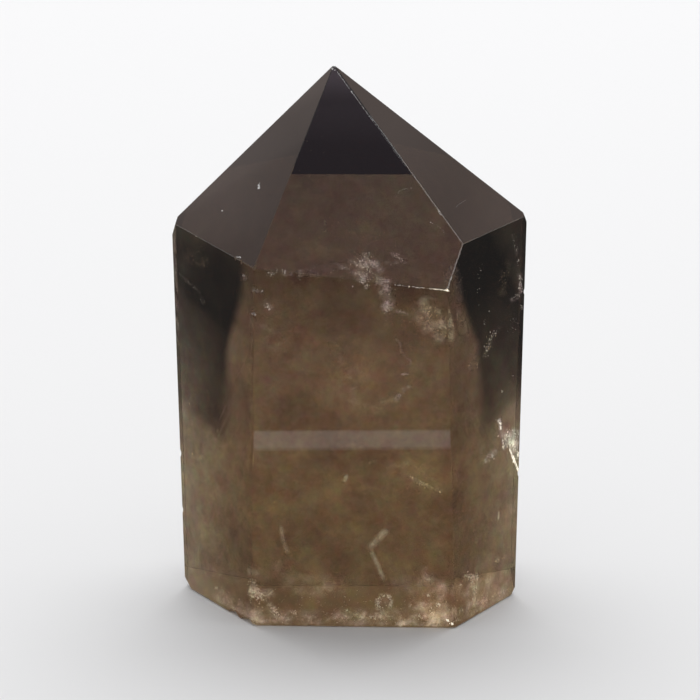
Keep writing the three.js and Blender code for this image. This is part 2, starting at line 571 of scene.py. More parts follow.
    def between(self, normal: Vector, normals: list[Vector]) -> bool:
        """Tells whether a normal lies half way between two of the large faces."""
        sums = (a + b for i, a in enumerate(normals) for b in normals[i + 1 :])
        return any(normal.angle(both.normalized()) < self.same_edge for both in sums if both.length > 0.8)

    @staticmethod
    def kind_of_large(normal: Vector) -> CrystalFace:
        """Names a large face from where it looks; the point's faces are major and minor by turns."""
        if normal.z < -0.5:
            return CrystalFace.FOOT
        if normal.z < 0.3:
            return CrystalFace.PRISM
        azimuth = math.degrees(math.atan2(normal.x, -normal.y)) % 360
        return CrystalFace.MINOR_POINT if round(azimuth / 60) % 2 else CrystalFace.MAJOR_POINT


# What grew or broke inside the stone


@dataclass(frozen=True)
class SpeckFinish:
    """Specks of healed cracks and broken films, bruised spots and painted highlights: pale satin flakes.

    A film in a crack throws the light in the stone back at the eye. As a stand-in for that, the flakes give
    off light of their own, up to about as strong as the room's.
    """

    name: str
    pale: str
    deep: str
    glow: float = 0.0
    roughness: float = 0.5
    patch: float = 1.2 * MM

    def material(self) -> bpy.types.Material:
        """Builds the material."""
        material, tree, output = new_material(self.name)
        place = add_node(tree, "ShaderNodeTexCoord").outputs["Object"]
        patches = add_node(
            tree, "ShaderNodeTexNoise", {"Scale": 1 / self.patch, "Detail": 2.0}, {"Vector": place}
        )
        colour = add_node(tree, "ShaderNodeValToRGB", links={0: patches.outputs["Fac"]})
        set_stops(colour, [(0.38, linear(self.deep)), (0.62, linear(self.pale))])
        surface = add_node(
            tree,
            "ShaderNodeBsdfPrincipled",
            {
                "Roughness": self.roughness,
                "Emission Color": linear(self.pale),
                "Emission Strength": self.glow,
            },
            {"Base Color": colour.outputs[0]},
        ).outputs[0]
        tree.links.new(surface, output.inputs["Surface"])
        return material


@dataclass
class Inside:
    """Finds the place inside the stone that shows at a pixel of the photograph."""

    stone: Stone
    camera: PhotoCamera

    def way_in(self, pixel: Pixel) -> tuple[Vector, Vector, Vector] | None:
        """Follows the camera's ray through a pixel into the stone.

        Args:
            pixel: Column and row in the photograph.

        Returns:
            Where the ray enters, its direction inside, and the surface's normal there. None beside the stone.
        """
        along = self.camera.towards(pixel)
        hit, normal, _, _ = self.stone.tree.ray_cast(self.camera.position, along)
        if hit is None:
            return None
        bend = 1 / QUARTZ_IOR
        facing = -along.dot(normal)
        ahead = along * bend + normal * (bend * facing - math.sqrt(1 - bend**2 * (1 - facing**2)))
        return hit, ahead.normalized(), normal

    def place(self, pixel: Pixel, depth: float, clear: float) -> Vector | None:
        """Finds a point inside the stone, or None if there is no room for it.

        Args:
            pixel: Column and row in the photograph.
            depth: How far the light goes inside before it gets there.
            clear: How far the point stays from the surface.
        """
        way = self.way_in(pixel)
        if way is None:
            return None
        start, ahead, _ = way
        _, _, _, reach = self.stone.tree.ray_cast(start + ahead * 0.01 * MM, ahead)
        if reach is None or reach < 2 * clear:
            return None
        point = start + ahead * min(max(depth, clear), reach - clear)
        _, _, _, gap = self.stone.tree.find_nearest(point)
        return point if gap >= clear * 0.99 else None


class Flakes:
    """Small irregular flakes, which every veil, wisp and crust repeats."""

    kinds: int = 6

    def __init__(self, draw: random.Random) -> None:
        """Shapes the few flakes that are repeated.

        Args:
            draw: Source of random numbers.
        """
        self.shapes: list[bpy.types.Mesh] = []
        for number in range(self.kinds):
            bm = bmesh.new()
            bmesh.ops.create_icosphere(bm, subdivisions=1, radius=1.0)
            for vert in bm.verts:
                vert.co *= draw.uniform(0.65, 1.25)
            mesh = bpy.data.meshes.new(f"flake_{number}")
            bm.to_mesh(mesh)
            bm.free()
            self.shapes.append(mesh)

    def strew(self, bm: bmesh.types.BMesh, where: Matrix, draw: random.Random) -> None:
        """Adds one flake to a mesh.

        Args:
            bm: Mesh that gets it.
            where: Its place, turn and size.
            draw: Source of random numbers.
        """
        flake = draw.choice(self.shapes).copy()
        flake.transform(where)
        bm.from_mesh(flake, face_normals=False, vertex_normals=False)
        bpy.data.meshes.remove(flake)


@dataclass(frozen=True)
class Veil:
    """Patch or trail of specks, by where it shows in the photograph.

    The trail runs through its pixels and is as wide as its spread, in pixels too. The count is of all its
    specks, also of those that would miss the stone and are left out.
    """

    trail: tuple[Pixel, ...]
    spread: float
    count: int
    # How far inside the stone its two ends lie, and the sizes of its smallest and largest specks, in mm.
    depth: tuple[float, float] = (0.0, 0.0)
    size: tuple[float, float] = (0.05, 0.12)
    # Longest side of a flake against its width, and its turn on the picture in degrees from upright.
    stretch: float = 1.3
    turn: float | None = None
    # How much the specks' depths differ, in mm.
    thickness: float = 0.5


def along(trail: tuple[Pixel, ...], share: float) -> Pixel:
    """Finds the pixel at a share of a trail's length."""
    steps = [math.dist(a, b) for a, b in zip(trail, trail[1:])]
    left = share * sum(steps)
    for (a, b), step in zip(zip(trail, trail[1:]), steps):
        if left <= step:
            return a[0] + (b[0] - a[0]) * left / step, a[1] + (b[1] - a[1]) * left / step
        left -= step
    return trail[-1]


@dataclass
class Growth:
    """One object of specks: the veils, wisps or crust of one kind."""

    name: str
    finish: SpeckFinish
    veils: tuple[Veil, ...]
    inside: Inside
    flakes: Flakes
    seed: int
    on_surface: bool = False
    clear: float = 0.2 * MM
    # Largest tilt of a speck inside the stone, and how much the turns of a veil's specks differ, in degrees.
    tilt: float = 55
    turn_spread: float = 14
    # How thick a speck is against its width, inside the stone and on its surface.
    thin: tuple[float, float] = (0.2, 0.5)
    flat: float = 0.12
    # The higher, the rarer are the larger specks.
    rarity: float = 1.6

    def build(self) -> bpy.types.Object:
        """Strews the specks, keeps them within the stone's box, and makes them ride with the stone."""
        draw = random.Random(self.seed)
        bm = bmesh.new()
        for veil in self.veils:
            for _ in range(veil.count):
                self.speck(bm, veil, draw)
        bmesh.ops.recalc_face_normals(bm, faces=bm.faces)
        low, high = CAD_BOX
        for vert in bm.verts:
            vert.co = [min(max(c, a), b) for c, a, b in zip(vert.co, low, high)]
        made = object_from(bm, self.name)
        made.data.materials.append(self.finish.material())
        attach(made, "root")
        log.info("%s: %d faces", self.name, len(made.data.polygons))
        return made

    def speck(self, bm: bmesh.types.BMesh, veil: Veil, draw: random.Random) -> None:
        """Adds one speck of a veil.

        Args:
            bm: Mesh that gets it.
            veil: The veil that it belongs to.
            draw: Source of random numbers.
        """
        share = draw.random()
        x, y = along(veil.trail, share)
        pixel = (x + draw.gauss(0, veil.spread), y + draw.gauss(0, veil.spread))
        near, far = veil.depth
        depth = (near + (far - near) * share + draw.gauss(0, veil.thickness)) * MM
        small, large = veil.size
        size = small * (large / small) ** (draw.random() ** self.rarity)
        tilt = draw.uniform(-self.tilt, self.tilt), draw.uniform(-self.tilt, self.tilt)
        turn = draw.uniform(0, 180) if veil.turn is None else veil.turn + draw.gauss(0, self.turn_spread)
        thin = draw.uniform(*self.thin)
        if self.on_surface:
            way = self.inside.way_in(pixel)
            if way is None:
                return
            point, _, facing = way
            thin, tilt = self.flat, (0.0, 0.0)
        else:
            point = self.inside.place(pixel, depth, self.clear)
            if point is None:
                return
            facing = -self.inside.camera.towards(pixel)
        towards = facing.to_track_quat("Z", "Y").to_matrix().to_4x4()
        lean = Matrix.Rotation(math.radians(tilt[0]), 4, "X") @ Matrix.Rotation(math.radians(tilt[1]), 4, "Y")
        spin = Matrix.Rotation(math.radians(turn), 4, "Z")
        wide, longer = size * MM, math.sqrt(veil.stretch)
        shape = Matrix.Diagonal((wide / longer, wide * longer, wide * thin, 1.0))
        self.flakes.strew(bm, Matrix.Translation(point) @ towards @ lean @ spin @ shape, draw)


@dataclass(frozen=True)
class FilmFinish:
    """Cloudy film of a healed crack: bubbles too fine to tell apart, with ragged gaps between them.

    It is pale and lets light by where it is thin, so it looks like a wisp of mist with a grain. It gives off
    light of its own, as the flakes do.
    """

    name: str
    pale: str
    deep: str
    glow: float
    grain: float = 0.3 * MM
    gaps: float = 1.5 * MM
    # What the grain and the gaps leave of the film at their thinnest.
    thin_grain: float = 0.06
    thin_gaps: float = 0.12

    def material(self) -> bpy.types.Material:
        """Builds the material."""
        material, tree, output = new_material(self.name)
        place = add_node(tree, "ShaderNodeTexCoord").outputs["Object"]
        grain = add_node(
            tree,
            "ShaderNodeTexNoise",
            {"Scale": 1 / self.grain, "Detail": 3.0, "Roughness": 0.65},
            {"Vector": place},
        ).outputs["Fac"]
        gaps = add_node(
            tree, "ShaderNodeTexNoise", {"Scale": 1 / self.gaps, "Detail": 3.0}, {"Vector": place}
        ).outputs["Fac"]
        dense = add_node(
            tree, "ShaderNodeMapRange", {1: 0.42, 2: 0.66, 3: self.thin_grain}, {0: grain}
        ).outputs[0]
        whole = add_node(
            tree, "ShaderNodeMapRange", {1: 0.38, 2: 0.6, 3: self.thin_gaps}, {0: gaps}
        ).outputs[0]
        fade = add_node(tree, "ShaderNodeAttribute", {"attribute_name": "fade"}).outputs["Fac"]
        cover = add_node(tree, "ShaderNodeMath", {"operation": "MULTIPLY"}, {0: dense, 1: whole}).outputs[0]
        cover = add_node(tree, "ShaderNodeMath", {"operation": "MULTIPLY"}, {0: cover, 1: fade}).outputs[0]
        colour = add_node(tree, "ShaderNodeValToRGB", links={0: gaps})
        set_stops(colour, [(0.38, linear(self.deep)), (0.62, linear(self.pale))])
        surface = add_node(
            tree,
            "ShaderNodeBsdfPrincipled",
            {"Roughness": 0.6, "Specular IOR Level": 0.2, "Emission Strength": self.glow},
            {"Base Color": colour.outputs[0], "Emission Color": colour.outputs[0], "Alpha": cover},
        ).outputs[0]
        tree.links.new(surface, output.inputs["Surface"])
        return material


@dataclass(frozen=True)
class Film:
    """Cloudy film, by where it shows in the photograph.

    It follows its trail of pixels, and thins out to nothing at its spread on either side. Its cover is how
    dense it is in the middle, and its depths are how far inside the stone its two ends lie, in mm.
    """

    trail: tuple[Pixel, ...]
    spread: float
    cover: float
    depth: tuple[float, float]


@dataclass
class Mist:
    """One object of cloudy films of one kind."""

    name: str
    finish: FilmFinish
    films: tuple[Film, ...]
    inside: Inside
    # Distance between the sheet's corners, in pixels.
    step: float = 1.6
    # How far the sheet waves in and out in mm, and the length of its waves.
    bend: float = 0.35
    bend_over: float = 1.2 * MM
    clear: float = 0.08 * MM

    def build(self) -> bpy.types.Object:
        """Builds the films, and makes them ride with the stone."""
        bm = bmesh.new()
        fade = bm.verts.layers.float.new("fade")
        for film in self.films:
            self.sheet(bm, fade, film)
        made = object_from(bm, self.name)
        made.data.materials.append(self.finish.material())
        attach(made, "root")
        log.info("%s: %d faces", self.name, len(made.data.polygons))
        return made

    def sheet(self, bm: bmesh.types.BMesh, fade: bmesh.types.BMLayerItem, film: Film) -> None:
        """Adds one film.

        Args:
            bm: Mesh that gets it.
            fade: Layer that holds how dense the film is.
            film: The film.
        """
        length = sum(math.dist(a, b) for a, b in zip(film.trail, film.trail[1:]))
        whole = length + 2 * film.spread
        columns, rows = (max(6, round(size / self.step)) for size in (whole, 2 * film.spread))
        grid = bmesh.ops.create_grid(bm, x_segments=columns, y_segments=rows, size=1.0)["verts"]
        lost = []
        for vert in grid:
            run = (vert.co.x + 1) / 2 * whole - film.spread
            share = min(max(run / length, 0.0), 1.0) if length else 0.0
            beyond = run - share * length
            aside = vert.co.y * film.spread
            pixel = self.beside(film.trail, share, beyond, aside)
            vert[fade] = film.cover * max(0.0, 1 - (beyond**2 + aside**2) / film.spread**2) ** 1.5
            near, far = film.depth
            way = self.inside.way_in(pixel)
            point = None
            if way is not None:
                bend = noise.noise(way[0] / self.bend_over) * self.bend
                point = self.inside.place(pixel, (near + (far - near) * share + bend) * MM, self.clear)
            if point is None:
                lost.append(vert)
            else:
                vert.co = point
        bmesh.ops.delete(bm, geom=lost, context="VERTS")

    @staticmethod
    def beside(trail: tuple[Pixel, ...], share: float, beyond: float, aside: float) -> Pixel:
        """Finds a pixel beside a trail.

        Args:
            trail: The trail's pixels.
            share: Place along it, from 0 to 1.
            beyond: How far past its end the pixel is.
            aside: How far to its side the pixel is.
        """
        if len(trail) == 1:
            return trail[0][0] + beyond, trail[0][1] + aside
        x, y = along(trail, share)
        (ax, ay), (bx, by) = along(trail, max(share - 0.06, 0.0)), along(trail, min(share + 0.06, 1.0))
        size = math.hypot(bx - ax, by - ay)
        tx, ty = (bx - ax) / size, (by - ay) / size
        return x + tx * beyond - ty * aside, y + ty * beyond + tx * aside


@dataclass
class Inclusions:
    """Everything that shows inside the stone and on its edges, by kind."""

    inside: Inside

    white: ClassVar[SpeckFinish] = SpeckFinish("healed_crack_white", "FFFAF2", "E6D8CC", 0.55)
    cream: ClassVar[SpeckFinish] = SpeckFinish("veil_cream", "F2E8D8", "B9A88C", 0.5)
    golden: ClassVar[SpeckFinish] = SpeckFinish("veil_golden", "FFE9C4", "C49E68", 0.5)
    film: ClassVar[SpeckFinish] = SpeckFinish("open_crack_silver", "FFFFFA", "E8E2D8", 0.9)
    # Painted highlights: pale flakes on the surface that glow where its edges, chips and the crack's mouth
    # catch the light.
    glint_glow: ClassVar[SpeckFinish] = SpeckFinish("painted_glint_cream", "FFF6E2", "E8DCC4", 0.62)
    mist: ClassVar[SpeckFinish] = SpeckFinish("veil_mist", "E8D6B8", "A08A68", 0.16)
    # White flecks for bruised spots and for painted highlight lines along the edges.
    bruise_and_highlight: ClassVar[SpeckFinish] = SpeckFinish("bruise_and_painted_highlight_white", "FFFFFF", "D8D4CE")

    mist_white: ClassVar[FilmFinish] = FilmFinish(
        "healed_film_white", "FFF0E8", "D9C2B8", 0.46, grain=0.34 * MM, gaps=1.1 * MM, thin_grain=0.2
    )
    mist_warm: ClassVar[FilmFinish] = FilmFinish(
        "healed_film_olive", "EDDDC0", "BCA684", 0.44, grain=0.42 * MM, thin_grain=0.36
    )
    mist_smooth: ClassVar[FilmFinish] = FilmFinish(
        "healed_film_satin", "FFF2DC", "EADBC0", 0.4, grain=0.6 * MM, thin_grain=0.6, thin_gaps=0.85
    )
    mist_crust: ClassVar[FilmFinish] = FilmFinish(
        "matrix_film_cream", "FFEFDA", "CDAE92", 0.46, grain=0.4 * MM, thin_grain=0.16, thin_gaps=0.25
    )
    mist_silver: ClassVar[FilmFinish] = FilmFinish(
        "open_film_silver", "F8F4EC", "D4CEC4", 0.66, grain=0.26 * MM, thin_grain=0.28, thin_gaps=0.5
    )
    # Foot mist: crust, with painted light along the foot's rim and over the dark line at the back of the
    # foot.
    mist_soft: ClassVar[FilmFinish] = FilmFinish(
        "foot_crust_and_painted_light_pink", "FFEBDC", "E2C4AE", 0.4, grain=0.7 * MM, thin_grain=0.45, thin_gaps=0.4
    )

    white_films: ClassVar[tuple[Film, ...]] = (
        # The white patch below the front face's top edge.
        Film(trail=((358, 266), (372, 267)), spread=12.0, cover=0.75, depth=(2.2, 2.6)),
        Film(trail=((355, 265), (362, 270), (364, 276)), spread=5.0, cover=1.0, depth=(2.0, 2.2)),
        Film(trail=((374, 262), (381, 269)), spread=5.0, cover=0.75, depth=(2.4, 2.4)),
        Film(trail=((364, 255), (367, 261)), spread=4.5, cover=0.6, depth=(2.4, 2.4)),
        Film(trail=((356, 271), (364, 282)), spread=6.0, cover=0.55, depth=(2.0, 2.4)),
        Film(trail=((365, 286), (366.5, 288)), spread=2.4, cover=0.8, depth=(2.2, 2.2)),
        Film(trail=((352, 263), (346, 267), (334, 266)), spread=4.0, cover=0.55, depth=(2.2, 2.2)),
        Film(trail=((390, 253), (398, 255), (404, 260)), spread=3.4, cover=0.85, depth=(3.0, 3.0)),
        Film(trail=((386, 262), (411, 262)), spread=3.0, cover=0.45, depth=(3.0, 3.2)),
        # Trail from it down.
        Film(trail=((378, 279), (387, 286)), spread=5.0, cover=0.5, depth=(2.6, 3.0)),
        Film(trail=((382, 286), (387, 293), (388, 303), (386, 312)), spread=8.5, cover=1.0, depth=(3.2, 4.5)),
        Film(trail=((386, 300), (387, 313)), spread=3.8, cover=1.0, depth=(4.4, 4.6)),
        Film(trail=((383, 292.5), (387, 297), (387.5, 303)), spread=9.0, cover=0.38, depth=(2.6, 3.0)),
        Film(trail=((398, 311), (408, 313)), spread=3.4, cover=0.7, depth=(5.0, 5.0)),
        # Strokes of the broken ring in the middle of the front face.
        Film(trail=((396.5, 339.5), (400, 343), (401, 351.5)), spread=2.0, cover=0.6, depth=(3.5, 3.5)),
        Film(trail=((404, 355), (409, 359), (410.5, 364)), spread=2.4, cover=0.34, depth=(3.5, 3.5)),
        Film(trail=((402, 374.6), (408, 373.6)), spread=1.8, cover=0.6, depth=(3.0, 3.0)),
        Film(trail=((396, 400), (400, 393), (404, 389), (409, 387)), spread=3.4, cover=0.5, depth=(3.0, 3.0)),
        # To the left of the white patch.
        Film(trail=((330, 268), (300, 274)), spread=6.0, cover=0.4, depth=(2.5, 3.0)),
        Film(trail=((290, 274), (268, 273)), spread=4.0, cover=0.6, depth=(1.2, 1.6)),
        Film(trail=((266, 303), (272, 310)), spread=3.8, cover=0.75, depth=(1.5, 1.8)),
        Film(trail=((255, 290), (262, 291)), spread=3.2, cover=0.65, depth=(0.9, 1.0)),
        Film(trail=((243.5, 277),), spread=4.5, cover=0.6, depth=(0.6, 0.6)),
        # Left face.
        Film(trail=((180, 274), (189, 283), (198, 290), (203, 302)), spread=1.8, cover=0.2, depth=(3.0, 5.0)),
        # Right face.
        Film(trail=((520, 275), (521, 292)), spread=2.8, cover=0.8, depth=(1.0, 1.4)),
        Film(trail=((518, 296), (512, 300)), spread=3.2, cover=0.6, depth=(1.2, 2.0)),
        Film(trail=((498, 328), (491, 340), (485, 356)), spread=3.6, cover=0.16, depth=(3.0, 5.0)),
        Film(trail=((513.5, 236), (517, 254)), spread=2.6, cover=0.5, depth=(1.2, 1.4)),
        Film(trail=((455, 270), (460, 298)), spread=5.5, cover=0.3, depth=(2.0, 4.0)),
    )
    olive_films: ClassVar[tuple[Film, ...]] = (
        # Golden cloud at the right of the front face.
        Film(trail=((426, 303), (432, 314)), spread=9.0, cover=0.8, depth=(3.0, 4.0)),
        Film(trail=((422, 316), (427, 328), (438, 337)), spread=10.0, cover=0.8, depth=(3.0, 4.0)),
        Film(trail=((436, 310), (443, 328)), spread=8.0, cover=0.75, depth=(3.0, 3.4)),
        Film(trail=((434, 318), (441, 336)), spread=9.0, cover=0.5, depth=(3.0, 3.4)),
        Film(trail=((420, 303), (428, 300), (438, 304)), spread=6.0, cover=0.45, depth=(2.4, 2.8)),
        Film(trail=((458, 312), (461, 320), (463, 330)), spread=5.4, cover=0.6, depth=(3.4, 4.0)),
        # Middle of the front face, above and below the bright band.
        Film(
            trail=((352, 378), (346, 390), (356, 402), (376, 409)), spread=12.0, cover=0.34, depth=(5.0, 6.0),
        ),
        Film(trail=((336, 346), (340, 362)), spread=7.0, cover=0.4, depth=(5.0, 6.0)),
        Film(trail=((384, 402), (396, 398)), spread=5.0, cover=0.26, depth=(3.0, 3.0)),
        Film(trail=((395, 466), (425, 480)), spread=13.0, cover=0.4, depth=(4.0, 5.0)),
        Film(trail=((410, 477), (425, 485), (440, 491)), spread=2.6, cover=0.8, depth=(3.0, 3.0)),
        Film(trail=((370, 463), (375, 461)), spread=2.4, cover=0.6, depth=(3.0, 3.0)),
        Film(trail=((262, 320), (275, 345)), spread=10.0, cover=0.35, depth=(3.0, 4.0)),
        # Left and right faces.
        Film(trail=((190, 257), (203, 262)), spread=8.0, cover=0.2, depth=(4.0, 5.0)),
        Film(trail=((506, 264), (502, 292)), spread=6.0, cover=0.22, depth=(4.0, 5.0)),
        Film(trail=((188, 454), (202, 458)), spread=4.0, cover=0.45, depth=(1.5, 1.5)),
        Film(trail=((476, 358), (471, 368)), spread=3.6, cover=0.34, depth=(2.0, 2.0)),
        Film(trail=((496, 561), (503, 557)), spread=4.5, cover=0.6, depth=(1.4, 1.4)),
        Film(trail=((476, 535), (476, 541)), spread=3.0, cover=0.6, depth=(1.6, 1.6)),
    )
    satin_films: ClassVar[tuple[Film, ...]] = (
        # Long wisps above the foot, and short ones between it and the bright band.
        Film(trail=((281, 528), (283, 540), (287, 551)), spread=3.0, cover=0.5, depth=(3.0, 3.4)),
        Film(trail=((385, 532), (378, 539), (371, 547)), spread=4.6, cover=0.7, depth=(3.0, 3.2)),
        Film(trail=((372, 553), (378, 565), (383, 578)), spread=3.0, cover=0.62, depth=(3.0, 3.4)),
        Film(trail=((345, 480), (346, 477)), spread=3.2, cover=0.65, depth=(2.0, 2.0)),
        Film(trail=((498.8, 512), (498.4, 520)), spread=1.3, cover=0.8, depth=(1.2, 1.2)),
    )
    crust_films: ClassVar[tuple[Film, ...]] = (
        # Crust on the sawn foot and along its edges.
        Film(trail=((254, 591), (263, 596), (270, 594)), spread=7.0, cover=1.0, depth=(1.6, 1.8)),
        Film(trail=((255, 593), (263, 598)), spread=5.0, cover=1.0, depth=(1.2, 1.4)),
        Film(trail=((216, 588),), spread=2.6, cover=0.9, depth=(0.8, 0.8)),
        Film(trail=((222, 598), (244, 609), (262, 617)), spread=10.0, cover=0.38, depth=(1.4, 1.4)),
        Film(trail=((270, 606), (281, 618)), spread=5.5, cover=0.65, depth=(1.2, 1.2)),
        Film(trail=((292, 611), (297, 614)), spread=3.4, cover=0.75, depth=(1.0, 1.0)),
        Film(trail=((256, 620), (300, 619), (345, 621)), spread=5.0, cover=0.65, depth=(0.9, 0.9)),
        Film(trail=((340, 617), (400, 617), (448, 617)), spread=7.0, cover=0.7, depth=(0.9, 0.9)),
        Film(trail=((258, 574), (266, 574), (278, 566)), spread=8.0, cover=0.2, depth=(3.0, 4.0)),
        Film(trail=((292, 584), (336, 588)), spread=13.0, cover=0.3, depth=(3.0, 4.0)),
        # Loop of crust right of the middle.
        Film(
            trail=((377, 608), (377, 600), (381, 595), (388, 595), (392, 600), (390, 607)), spread=2.8,
            cover=0.95, depth=(1.4, 1.4),
        ),
        Film(trail=((384, 601),), spread=9.0, cover=0.4, depth=(1.6, 1.6)),
        Film(trail=((366, 615), (376, 619)), spread=3.4, cover=0.75, depth=(0.9, 0.9)),
        Film(trail=((427, 572), (433, 590)), spread=8.0, cover=0.5, depth=(2.0, 2.5)),
        Film(trail=((428, 595), (429, 597)), spread=2.6, cover=1.0, depth=(1.2, 1.2)),
        Film(trail=((431, 600), (433, 613)), spread=3.2, cover=0.8, depth=(1.0, 1.0)),
        Film(trail=((437, 602), (440, 608)), spread=4.0, cover=0.85, depth=(1.1, 1.1)),
        Film(trail=((417, 614), (425, 619)), spread=2.6, cover=0.75, depth=(0.8, 0.8)),
        Film(trail=((410, 604), (411, 608)), spread=2.8, cover=0.6, depth=(1.0, 1.0)),
        Film(trail=((442, 588), (441, 604)), spread=6.0, cover=0.6, depth=(1.2, 1.2)),
        Film(trail=((422, 606), (436, 612)), spread=10.0, cover=0.45, depth=(1.4, 1.4)),
        # Foot of the right face.
        Film(trail=((465, 578), (471, 576), (479, 579)), spread=4.4, cover=0.95, depth=(1.3, 1.5)),
        Film(trail=((472, 581), (475, 590), (474, 606)), spread=2.6, cover=0.9, depth=(1.2, 1.2)),
        Film(trail=((484, 601),), spread=5.5, cover=0.75, depth=(1.0, 1.0)),
        Film(trail=((458, 586), (462, 584)), spread=3.4, cover=0.6, depth=(1.0, 1.0)),
        Film(trail=((456, 612), (480, 604), (506, 592)), spread=6.0, cover=0.55, depth=(1.0, 1.0)),
        Film(trail=((468, 592), (500, 580)), spread=13.0, cover=0.34, depth=(1.6, 2.0)),
    )
    silver_films: ClassVar[tuple[Film, ...]] = (
        # Healed crack at the right edge.
        Film(trail=((506, 435), (512, 441), (517, 449)), spread=7.0, cover=1.0, depth=(0.8, 0.5)),
        Film(trail=((514, 432), (517, 444)), spread=5.0, cover=0.8, depth=(0.5, 0.4)),
        Film(trail=((505.5, 433), (507, 447)), spread=1.4, cover=0.9, depth=(0.7, 0.7)),
        Film(trail=((509.5, 432), (510.5, 447)), spread=1.4, cover=1.0, depth=(0.6, 0.6)),
        Film(trail=((513.5, 431), (514.5, 450)), spread=1.6, cover=1.0, depth=(0.5, 0.5)),
        Film(trail=((514, 441), (518, 458)), spread=4.6, cover=1.0, depth=(0.5, 0.4)),
        Film(trail=((517, 446), (518.4, 458)), spread=2.6, cover=1.0, depth=(0.3, 0.3)),
        Film(trail=((499.5, 420), (500.8, 429)), spread=2.6, cover=0.9, depth=(0.7, 0.7)),
        Film(trail=((503, 440), (503.4, 449)), spread=2.0, cover=0.5, depth=(0.8, 0.8)),
        Film(trail=((518, 431), (518.6, 441)), spread=2.6, cover=0.8, depth=(0.4, 0.4)),
        Film(trail=((487, 460), (494, 452)), spread=4.6, cover=0.6, depth=(1.6, 1.6)),
    )
    foot_films: ClassVar[tuple[Film, ...]] = (
        # Soft mist over the foot.
        Film(trail=((222, 598), (244, 609), (262, 617)), spread=12.0, cover=0.34, depth=(1.3, 1.3)),
        Film(trail=((258, 615), (340, 617)), spread=9.0, cover=0.3, depth=(0.9, 0.9)),
        Film(trail=((340, 616), (448, 616)), spread=10.0, cover=0.36, depth=(0.9, 0.9)),
        Film(trail=((441, 586), (441, 606)), spread=8.0, cover=0.4, depth=(1.2, 1.2)),
        Film(trail=((420, 606), (438, 612)), spread=12.0, cover=0.38, depth=(1.4, 1.4)),
        Film(trail=((398, 585), (440, 588)), spread=13.0, cover=0.3, depth=(1.8, 2.0)),
        Film(trail=((292, 584), (336, 588)), spread=15.0, cover=0.26, depth=(3.0, 4.0)),
        Film(trail=((468, 592), (500, 580)), spread=16.0, cover=0.3, depth=(1.6, 2.0)),
        Film(trail=((470, 604), (506, 590)), spread=7.0, cover=0.4, depth=(1.0, 1.0)),
        # Faint glowing mist along the back edge of the foot: crust, and painted light over the dark line
        # where that edge sees the shade on the floor.
        Film(trail=((466, 566), (500, 561)), spread=12.0, cover=0.2, depth=(2.0, 2.0)),
        Film(trail=((259, 575), (278, 567)), spread=10.0, cover=0.14, depth=(3.0, 4.0)),
        Film(trail=((192, 566), (215, 572), (238, 578)), spread=8.0, cover=0.26, depth=(2.2, 2.6)),
        Film(trail=((254, 592), (270, 596)), spread=9.0, cover=0.3, depth=(1.4, 1.6)),
        # Bright rim along the foot's edges: its crust, brightened as a painted highlight.
        Film(trail=((214, 596), (236, 609), (252, 619)), spread=3.6, cover=0.5, depth=(0.3, 0.3)),
        Film(trail=((256, 621.5), (290, 623)), spread=3.8, cover=0.85, depth=(0.3, 0.3)),
        Film(trail=((290, 624), (352, 624.5)), spread=3.0, cover=0.3, depth=(0.3, 0.3)),
        Film(trail=((352, 624), (402, 625)), spread=4.4, cover=0.6, depth=(0.3, 0.3)),
        Film(trail=((402, 624), (448, 625)), spread=5.4, cover=1.0, depth=(0.3, 0.3)),
        Film(trail=((428, 619.5), (449, 620.5)), spread=6.0, cover=0.8, depth=(0.3, 0.3)),
        Film(trail=((418, 611), (446, 611)), spread=9.0, cover=0.3, depth=(1.0, 1.0)),
        Film(trail=((458, 621), (480, 609), (506, 596)), spread=3.6, cover=0.5, depth=(0.3, 0.3)),
    )

